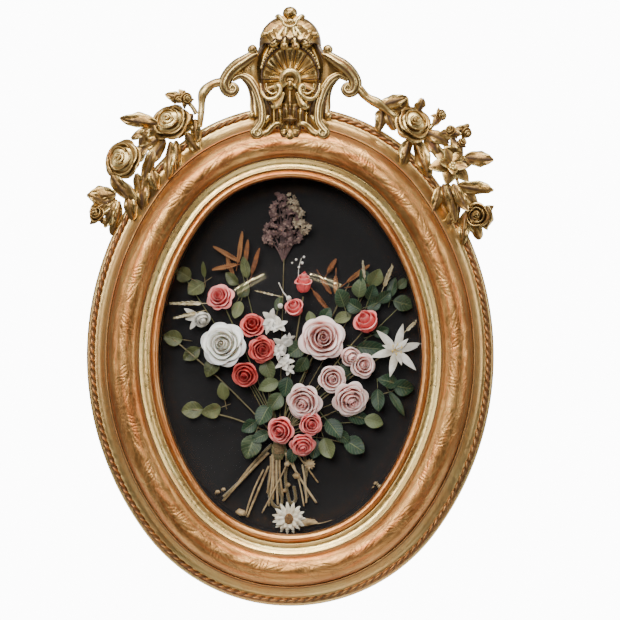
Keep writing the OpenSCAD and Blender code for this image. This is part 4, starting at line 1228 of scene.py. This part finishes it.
def carve_arm(soup, side):
    """Ridged S-scroll: ball at the shoulder, a long sweep out to a volute, a return sweep and a leaf foot."""
    blob(soup, (side * 44, 358, 78), (5.9, 5.9, 5.9), lumps=0.015, sides=24)
    outer = [(38, 353, 76), (45, 350, 77), (54, 344, 77), (64, 337.5, 76), (72, 329, 75), (76.5, 319, 74.5),
             (74, 310.5, 74), (67.5, 308, 74), (63.5, 312.5, 74.5), (67, 317, 75), (70.5, 313.5, 75.5)]
    run = np.linspace(0, 1, 90)
    tube(soup, curve(mirrored(outer, side), 90),
         np.interp(run, (0, 0.25, 0.5, 0.72, 1), (4.8, 7.6, 7.0, 4.8, 2.8)), 32,
         lobes=8, lobe_depth=0.075)
    under = [(68, 324, 73), (58, 328.5, 74), (48, 324, 76), (40.5, 314, 79), (35.5, 301, 82),
             (32.5, 287, 84),
             (33, 274, 85), (38, 265, 87), (42, 260.5, 88), (38.5, 256.8, 88), (34, 259.5, 89),
             (36, 264, 89.5)]
    run = np.linspace(0, 1, 110)
    tube(soup, curve(mirrored(under, side), 110),
         np.interp(run, (0, 0.2, 0.5, 0.75, 1), (3.2, 5.4, 4.6, 4.6, 2.6)), 32,
         lobes=8, lobe_depth=0.075)
    loft(soup, mirrored([(50, 326, 76), (41, 314, 78), (35.5, 301, 80), (33, 288, 80), (35, 279, 78)], side),
         mirrored([(60, 327, 71), (51, 316, 68), (47.5, 303, 67), (47.5, 291, 68), (44.5, 280.5, 70)],
                  side), 2.5)
    loft(soup, mirrored([(36, 354, 84), (38.5, 340, 84), (38, 326, 84), (35, 312, 84)], side),
         mirrored([(45, 350, 79), (60, 340, 77), (64, 330, 75), (41, 314, 80)], side), 3.5, 1)
    blob(soup, (side * 44.5, 281, 71), (4.2, 4.8, 4.0), lumps=0.05)
    leaf(soup, (side * 24, 281, 84), -90 + side * 40, 28, 17, rise=2, fold=-0.45, droop=0.02, teeth=3,
         tooth=0.05,
         blunt=0.5, rows=31, seed=9)
    curl = [(8, 307, 86), (11, 299, 88), (14.5, 293, 89), (18.5, 290.5, 88), (20.5, 292.5, 86.5)]
    tube(soup, curve(mirrored(curl, side), 36), np.interp(np.linspace(0, 1, 36), (0, 0.6, 1),
            (2.6, 4.2, 2.8)), 14,
         squash=0.75, lobes=3, lobe_depth=0.1)


def carve_palmette(soup):
    """Scalloped lobe below a diamond bead, between two curled lobes of the apron."""
    a = np.radians(np.linspace(-190, 10, 121))[:, None]
    t = np.linspace(0, 1.12, 26)[None]
    scallop = np.abs(np.cos(3.5 * (a + math.pi / 2)))
    reach = np.minimum(t, 1)
    r = (12.2 + 1.5 * scallop) * reach
    z = 86 + 6.5 * np.sin(math.pi * 0.62 * reach + 0.5) + 1.6 * scallop * reach - 5.5 * smooth(0.88, 1.12, t)
    soup.grid(np.stack([r * np.cos(a), 265 + 1.05 * r * np.sin(a), z], -1))
    x, y = np.meshgrid(np.linspace(-1, 1, 21), np.linspace(-1, 1, 21), indexing="ij")
    gem = np.stack([8.0 * (x + y) / 2, 275.5 + 6.0 * (x - y) / 2,
                    89 + 5 * (1 - np.maximum(np.abs(x), np.abs(y))) ** 0.7], -1)
    soup.grid(gem)
    for side in (-1, 1):
        lobe = [(9.5, 268.5, 88), (15, 270.5, 89), (21, 267, 88), (26, 261.5, 88), (31, 258.5, 88)]
        tube(soup, curve(mirrored(lobe, side), 50),
             np.interp(np.linspace(0, 1, 50), (0, 0.4, 1), (2.4, 3.4, 4.4)), 16,
             squash=0.8, lobes=5, lobe_depth=0.07)


# ---------------------------------------------------------------- garlands

# Carved leaves: (x, y, z, turn, length, width, rise) from the stalk end.
LEFT_LEAVES = ((-122, 300, 70, 165, 24, 12, 14), (-120, 298, 68, 118, 16, 10, 20),
               (-114, 284, 68, -115, 32, 14, 6),
               (-112, 278, 68, -88, 26, 12, 8), (-122, 262, 68, -60, 30, 14, 8),
               (-154, 272, 71, 178, 44, 17, 8),
               (-156, 268, 69, 198, 32, 13, 12), (-150, 258, 70, 215, 34, 13, 12),
               (-146, 254, 70, 238, 40, 14, 10),
               (-140, 252, 70, 262, 44, 14, 8), (-134, 252, 69, -80, 36, 13, 8),
               (-160, 242, 71, 250, 38, 13, 12),
               (-168, 246, 70, 225, 26, 13, 14), (-176, 246, 72, 70, 22, 15, 26),
               (-172, 210, 70, -100, 38, 16, 6),
               (-180, 214, 68, -78, 32, 13, 6), (-164, 224, 68, -70, 30, 13, 8),
               (-210, 214, 71, -62, 44, 18, 8),
               (-204, 190, 72, 188, 32, 18, 10), (-206, 186, 69, 214, 34, 15, 8),
               (-204, 184, 68, 240, 34, 14, 6),
               (-200, 182, 68, 266, 38, 12, 4), (-214, 178, 71, 150, 24, 14, 20),
               (-190, 190, 68, -84, 30, 14, 6))
RIGHT_LEAVES = ((103, 292, 73, 18, 34, 15, 14), (106, 291, 69, -10, 26, 11, 10),
                (108, 290, 70, -92, 26, 14, 10),
                (112, 290, 70, -72, 28, 13, 16), (116, 289, 69, -56, 30, 13, 18),
                (126, 286, 66, 62, 20, 15, 20),
                (150, 286, 68, 66, 16, 12, 16), (156, 264, 70, -22, 30, 14, 14),
                (158, 260, 68, -52, 32, 14, 10),
                (146, 254, 70, -74, 46, 19, 6), (140, 256, 67, -98, 32, 15, 4),
                (168, 270, 70, 58, 18, 9, 12),
                (176, 262, 70, -8, 24, 10, 10), (188, 256, 70, -42, 20, 10, 8), (192, 262, 70, 18, 18, 9, 8),
                (204, 233, 70, -6, 33, 17, 10), (176, 200, 69, -102, 34, 12, 6),
                (179, 202, 70, -86, 40, 12, 8),
                (184, 202, 71, -73, 44, 12, 8), (190, 202, 71, -60, 38, 12, 10),
                (196, 200, 72, -16, 40, 15, 18),
                (198, 198, 69, -38, 34, 15, 10), (206, 170, 68, -98, 38, 15, 4),
                (212, 168, 68, -76, 32, 14, 6),
                (200, 180, 67, -112, 34, 13, 4), (232, 176, 68, -100, 26, 12, 4))


def make_garlands(gold):
    parts = {"left": (LEFT_LEAVES, ((-77, 321), (-91, 318), (-102, 307), (-104, 289), (-106, 268)),
                      ((-124, 301, 7), (-224, 164, 9), (-134, 303, 5)),
                      ((-118, 282), (-150, 262), (-184, 238), (-204, 204), (-206, 158)),
                      ((-124, 301, -110, 284), (-224, 164, -205, 180))),
             "right": (RIGHT_LEAVES, ((80, 314), (90, 303), (104, 295), (118, 284), (128, 276)),
                       ((174, 282, 6), (190, 262, 6), (204, 263, 6), (221, 166, 13), (199, 248, 5)),
                       ((112, 288), (140, 266), (170, 250), (192, 216), (210, 160)),
                       ((174, 282, 158, 262), (190, 262, 174, 252), (204, 263, 180, 254),
                        (199, 248, 180, 244),
                        (221, 166, 206, 180)))}
    for side, (leaves, branch, buds, vine, stalks) in parts.items():
        stem = Soup()
        path = curve([(x, y, 73) for x, y in branch], 60)
        run = np.linspace(0, 1, 60)
        bark = 5.0 + 0.3 * np.sin(run * 17) + 1.5 * np.exp(-((run - 0.45) / 0.2) ** 2) - 1.6 * run
        tube(stem, path, bark, 16, lobes=5, lobe_depth=0.05, twist=0.12)
        tube(stem, curve([(x, y, 67) for x, y in vine], 60), np.linspace(3.2, 1.4, 60), 10, lobes=3,
             lobe_depth=0.08)
        for x, y, foot_x, foot_y in stalks:
            way = curve([(x, y, 68), ((x + foot_x) / 2 + 2, (y + foot_y) / 2, 67), (foot_x, foot_y, 66)], 16)
            tube(stem, way, np.linspace(2.2, 2.8, 16), 10)
        stem.object("carved_branch_" + side, gold, stands_for=("garland_stem_" + side,),
                    slot="gilt_ornament", hollows=True)
        blades = Soup()
        for i, (x, y, z, turn, length, width, rise) in enumerate(leaves):
            leaf(blades, (x, y, z), turn, length, 1.1 * width, rise=rise + 8, roll=26 * math.sin(2.3 * i),
                 fold=-0.5,
                 droop=0.34 + 0.16 * math.sin(i * 1.9), teeth=3, tooth=0.06, blunt=0.62, rows=31,
                 wave=0.2, ridge=0.07, seed=i + 3)
        thicken(blades.object("carved_leaves_" + side, gold, stands_for=("gilt_leaves_" + side,),
                              slot="gilt_ornament"), 2.0)
        heads = Soup()
        for i, (x, y, r) in enumerate(buds):
            rose(heads, (x, y, 66), r * 1.15, 15, 20 * math.sin(i * 2), 20 * math.cos(i * 3), 0, BUD,
                 seed=70 + i)
            star_flower(heads, (x, y, 66), r * 1.5, 4, r * 0.9, turn=40 * i, cup=20, seed=80 + i)
        thicken(heads.object("carved_buds_" + side, gold, stands_for=("gilt_buds_" + side,),
                             slot="gilt_ornament"), 1.2)
    for name, x, y, r, seed, lean, side in (("left_upper", -138, 271, 19, 11, 26, -22),
            ("left_lower", -193, 229, 19, 12, 10, -26),
                                            ("right", 141, 269, 19, 13, 26, 26)):
        head = Soup()
        rose(head, (x, y, 64), r * 1.1, 20, lean, side, 30 * seed, CARVED_ROSE, seed=seed)
        blob(head, (x, y, 72), (r * 0.86, r * 0.86, 7.5), lumps=0.08, seed=seed)
        thicken(head.object("carved_rose_" + name, gold, stands_for=("gilt_rose_" + name,),
                            slot="gilt_ornament"), 1.5)
    flower = Soup()
    star_flower(flower, (189, 225, 68), 27, 6, 19, lean=24, side=16, turn=10, cup=20, seed=5)
    star_flower(flower, (189, 225, 69), 19, 5, 14, lean=24, side=16, turn=44, cup=46, seed=6)
    for i in range(7):
        blob(flower, (190 + 3.4 * math.cos(i * 0.9 + 0.2) * (i > 0),
                      222 + 3.4 * math.sin(i * 0.9 + 0.2) * (i > 0), 79), (1.9, 1.9, 2.4),
             sides=10, seed=i)
    thicken(flower.object("carved_open_flower", gold, stands_for=("gilt_lily_right",),
                          slot="gilt_ornament"), 1.4)


def make_crest(gold):
    jobs = (("crest_cartouche", carve_body), ("crest_shell", carve_shell), ("crest_hood", carve_hood),
            ("crest_finial", carve_finial), ("crest_palmette", carve_palmette))
    for node, carve in jobs:
        soup = Soup()
        carve(soup)
        soup.object("carved_" + node, gold, stands_for=(node,), slot="gilt_ornament", hollows=True)
    for name, side in (("left", -1), ("right", 1)):
        soup = Soup()
        carve_arm(soup, side)
        soup.object("carved_crest_arm_" + name, gold, stands_for=("crest_arm_" + name,),
                    slot="gilt_ornament", hollows=True)


# ---------------------------------------------------------------- stage

VIEW_DISTANCE = 2.5
VIEW_SPAN = 0.729                        # width of the picture at the moulding
VIEW_OFFSET = (23.2, 54.1, 60.0)         # what the picture's middle looks at, on the bench


def look_at(thing, target):
    thing.rotation_euler = (Vector(target) - thing.location).to_track_quat("-Z", "Y").to_euler()


def make_camera():
    data = bpy.data.cameras.new("camera")
    camera = bpy.data.objects.new("camera", data)
    target = Vector(to_row(VIEW_OFFSET))
    camera.location = target + Vector((0, -VIEW_DISTANCE, 0))
    data.sensor_width = 36
    data.lens = 36 * VIEW_DISTANCE / VIEW_SPAN
    look_at(camera, target)
    bpy.context.scene.collection.objects.link(camera)
    bpy.context.scene.camera = camera


def area_light(name, location, target, size, power, color=(1, 1, 1), roll=0.0):
    data = bpy.data.lights.new(name, "AREA")
    data.shape = "RECTANGLE"
    data.size, data.size_y = size
    data.energy = power
    data.color = color
    lamp = bpy.data.objects.new(name, data)
    lamp.location = location
    look_at(lamp, target)
    lamp.rotation_euler.rotate_axis("Z", roll)
    bpy.context.scene.collection.objects.link(lamp)
    return lamp


def dome_normal(x, y):
    r = math.hypot(x, y / STRETCH)
    slope = (dome_height(np.array(r + 0.5)) - dome_height(np.array(r - 0.5))).item()
    n = Vector((-slope * x / r, -slope * y / STRETCH / STRETCH / r, 1)).normalized()
    return Vector((n.x, -n.z, n.y))


STRIP_SIZE = (0.42, 0.012)
STRIP_POWER = 22.0


def strip_light(name, x, y, reach, size, power, roll):
    """A strip lamp placed where the dome mirrors it, at (x, y) on the bench, towards the camera."""
    spot = Vector(to_row((x, y, SEAT_Z + dome_height(np.array(math.hypot(x, y / STRETCH))).item())))
    seen = (bpy.context.scene.camera.location - spot).normalized()
    n = dome_normal(x, y)
    ray = 2 * n.dot(seen) * n - seen
    return area_light(name, spot + ray * reach, spot, size, power, (1, 0.82, 0.46), roll)


def make_lights(dome):
    """Two strips that the dome mirrors, and soft panels that light everything but the dome."""
    middle = Vector(to_row((0, 0, 60)))
    mirror = bpy.data.collections.new("lit_by_strips")
    mirror.objects.link(dome)
    for name, x, y, roll in (("strip_left", -48, 87, 18), ("strip_right", 42, 90, -12)):
        lamp = strip_light(name, x, y, 1.5, STRIP_SIZE, STRIP_POWER, math.radians(roll))
        lamp.light_linking.receiver_collection = mirror
        lamp.data.cycles.max_bounces = 1
    panels = bpy.data.collections.new("lit_by_panels")
    panels.objects.link(dome)
    panels.collection_objects[0].light_linking.link_state = "EXCLUDE"
    for name, place, size, power, color in (
            ("top_panel", (0.1, -0.75, 1.7), (1.8, 0.7), 58, (1, 0.98, 0.95)),
            ("front_panel", (-0.5, -2.3, 0.9), (1.4, 1.0), 68, (1, 0.99, 0.98)),
            ("left_panel", (-1.8, -0.8, 0.35), (0.6, 1.6), 9, (1, 0.99, 0.97)),
            ("right_panel", (1.8, -0.8, 0.35), (0.6, 1.6), 12, (1, 0.99, 0.98)),
            ("low_panel", (0.2, -1.0, -1.3), (1.6, 0.9), 8, (1, 0.98, 0.95)),
            ("rear_panel", (0.4, 2.2, 0.9), (1.6, 1.2), 16, (1, 1, 1))):
        area_light(name, middle + Vector(place), middle, size, power,
                   color).light_linking.receiver_collection = panels


def make_world():
    """White behind the frame; for light and mirrors, a room that is dark in front and pale around."""
    world = bpy.data.worlds.new("studio")
    bpy.context.scene.world = world
    world.use_nodes = True
    tree = world.node_tree
    room = tree.nodes["Background"]
    way = tree.nodes.new("ShaderNodeSeparateXYZ")
    tree.links.new(tree.nodes.new("ShaderNodeTexCoord").outputs["Generated"], way.inputs[0])
    strength = []
    for axis, low, high, weak, strong in ((1, -0.85, 0.1, 0.0, 1.0), (2, -0.5, 0.9, 0.18, 0.55)):
        ramp = tree.nodes.new("ShaderNodeMapRange")
        ramp.interpolation_type = "SMOOTHSTEP"
        for socket, value in zip(ramp.inputs[1:5], (low, high, weak, strong)):
            socket.default_value = value
        tree.links.new(way.outputs[axis], ramp.inputs[0])
        strength.append(ramp.outputs[0])
    product = tree.nodes.new("ShaderNodeMath")
    product.operation = "MULTIPLY_ADD"
    product.inputs[2].default_value = 0.015
    tree.links.new(strength[0], product.inputs[0])
    tree.links.new(strength[1], product.inputs[1])
    room.inputs["Color"].default_value = (0.97, 0.98, 1, 1)
    tree.links.new(product.outputs[0], room.inputs["Strength"])
    white = tree.nodes.new("ShaderNodeBackground")
    white.inputs["Color"].default_value = (1, 1, 1, 1)
    white.inputs["Strength"].default_value = 12
    mixer = tree.nodes.new("ShaderNodeMixShader")
    path = tree.nodes.new("ShaderNodeLightPath")
    tree.links.new(path.outputs["Is Camera Ray"], mixer.inputs[0])
    tree.links.new(room.outputs[0], mixer.inputs[1])
    tree.links.new(white.outputs[0], mixer.inputs[2])
    tree.links.new(mixer.outputs[0], tree.nodes["World Output"].inputs["Surface"])


def make_floor():
    p = Paint("pale_floor", Roughness=0.85)
    p.done(p.mix(p.noise(3), (0.82, 0.82, 0.81), (0.86, 0.86, 0.85)))
    size, drop, front = 1.2, 0.30, 0.16
    z = CAD_BOUNDS[0][2] - drop
    mesh = bpy.data.meshes.new("floor")
    mesh.from_pydata([(-size, -front, z), (size, -front, z), (size, size, z), (-size, size, z)], [],
                     [(0, 1, 2, 3)])
    floor = bpy.data.objects.new("floor", mesh)
    floor.data.materials.append(p.material)
    bpy.context.scene.collection.objects.link(floor)


# ---------------------------------------------------------------- build

make_camera()
make_world()
make_floor()

# gilding numbers after the colours: wear down to bole, strength of the painted shade in the hollows,
# roughness, streaks.
torus_gold = gilding("torus_gold", (0.61, 0.345, 0.115), (0.42, 0.195, 0.060), (0.50, 0.15, 0.040), 0.55,
                     0.75, 0.36, 0.16,
                      outer=(0.70, 0.50, 0.20))
band_gold = gilding("band_gold", (0.95, 0.76, 0.32), (0.84, 0.60, 0.22), (0.62, 0.30, 0.09), 0.06, 0.6,
                    0.34, 0.5)
bead_gold = gilding("bead_gold", (0.66, 0.28, 0.09), (0.52, 0.16, 0.045), (0.78, 0.46, 0.18), 0.6, 0.6,
                    0.36, 0.3)
rope_gold = gilding("rope_gold", (0.30, 0.155, 0.055), (0.15, 0.075, 0.028), (0.30, 0.11, 0.04), 0.4, 0.9,
                    0.4, 0.3)
# ornament gold: body gold, a paler gold painted on the ridges as highlight, and the near-black painted shade
# for the hollows.
ornament_gold = antique_gold("ornament_gold", (0.27, 0.155, 0.047), (0.62, 0.46, 0.19),
                             (0.055, 0.026, 0.010))

make_mouldings(torus_gold)
make_slip(bead_gold, band_gold)
make_rope(rope_gold)
make_lights(make_glass())
make_ground()
dress_back()
make_crest(ornament_gold)
make_garlands(ornament_gold)
make_roses()
make_leaves()
make_binding()
make_white_flowers()
make_dried()
make_daisy()
make_cords()
make_straw()
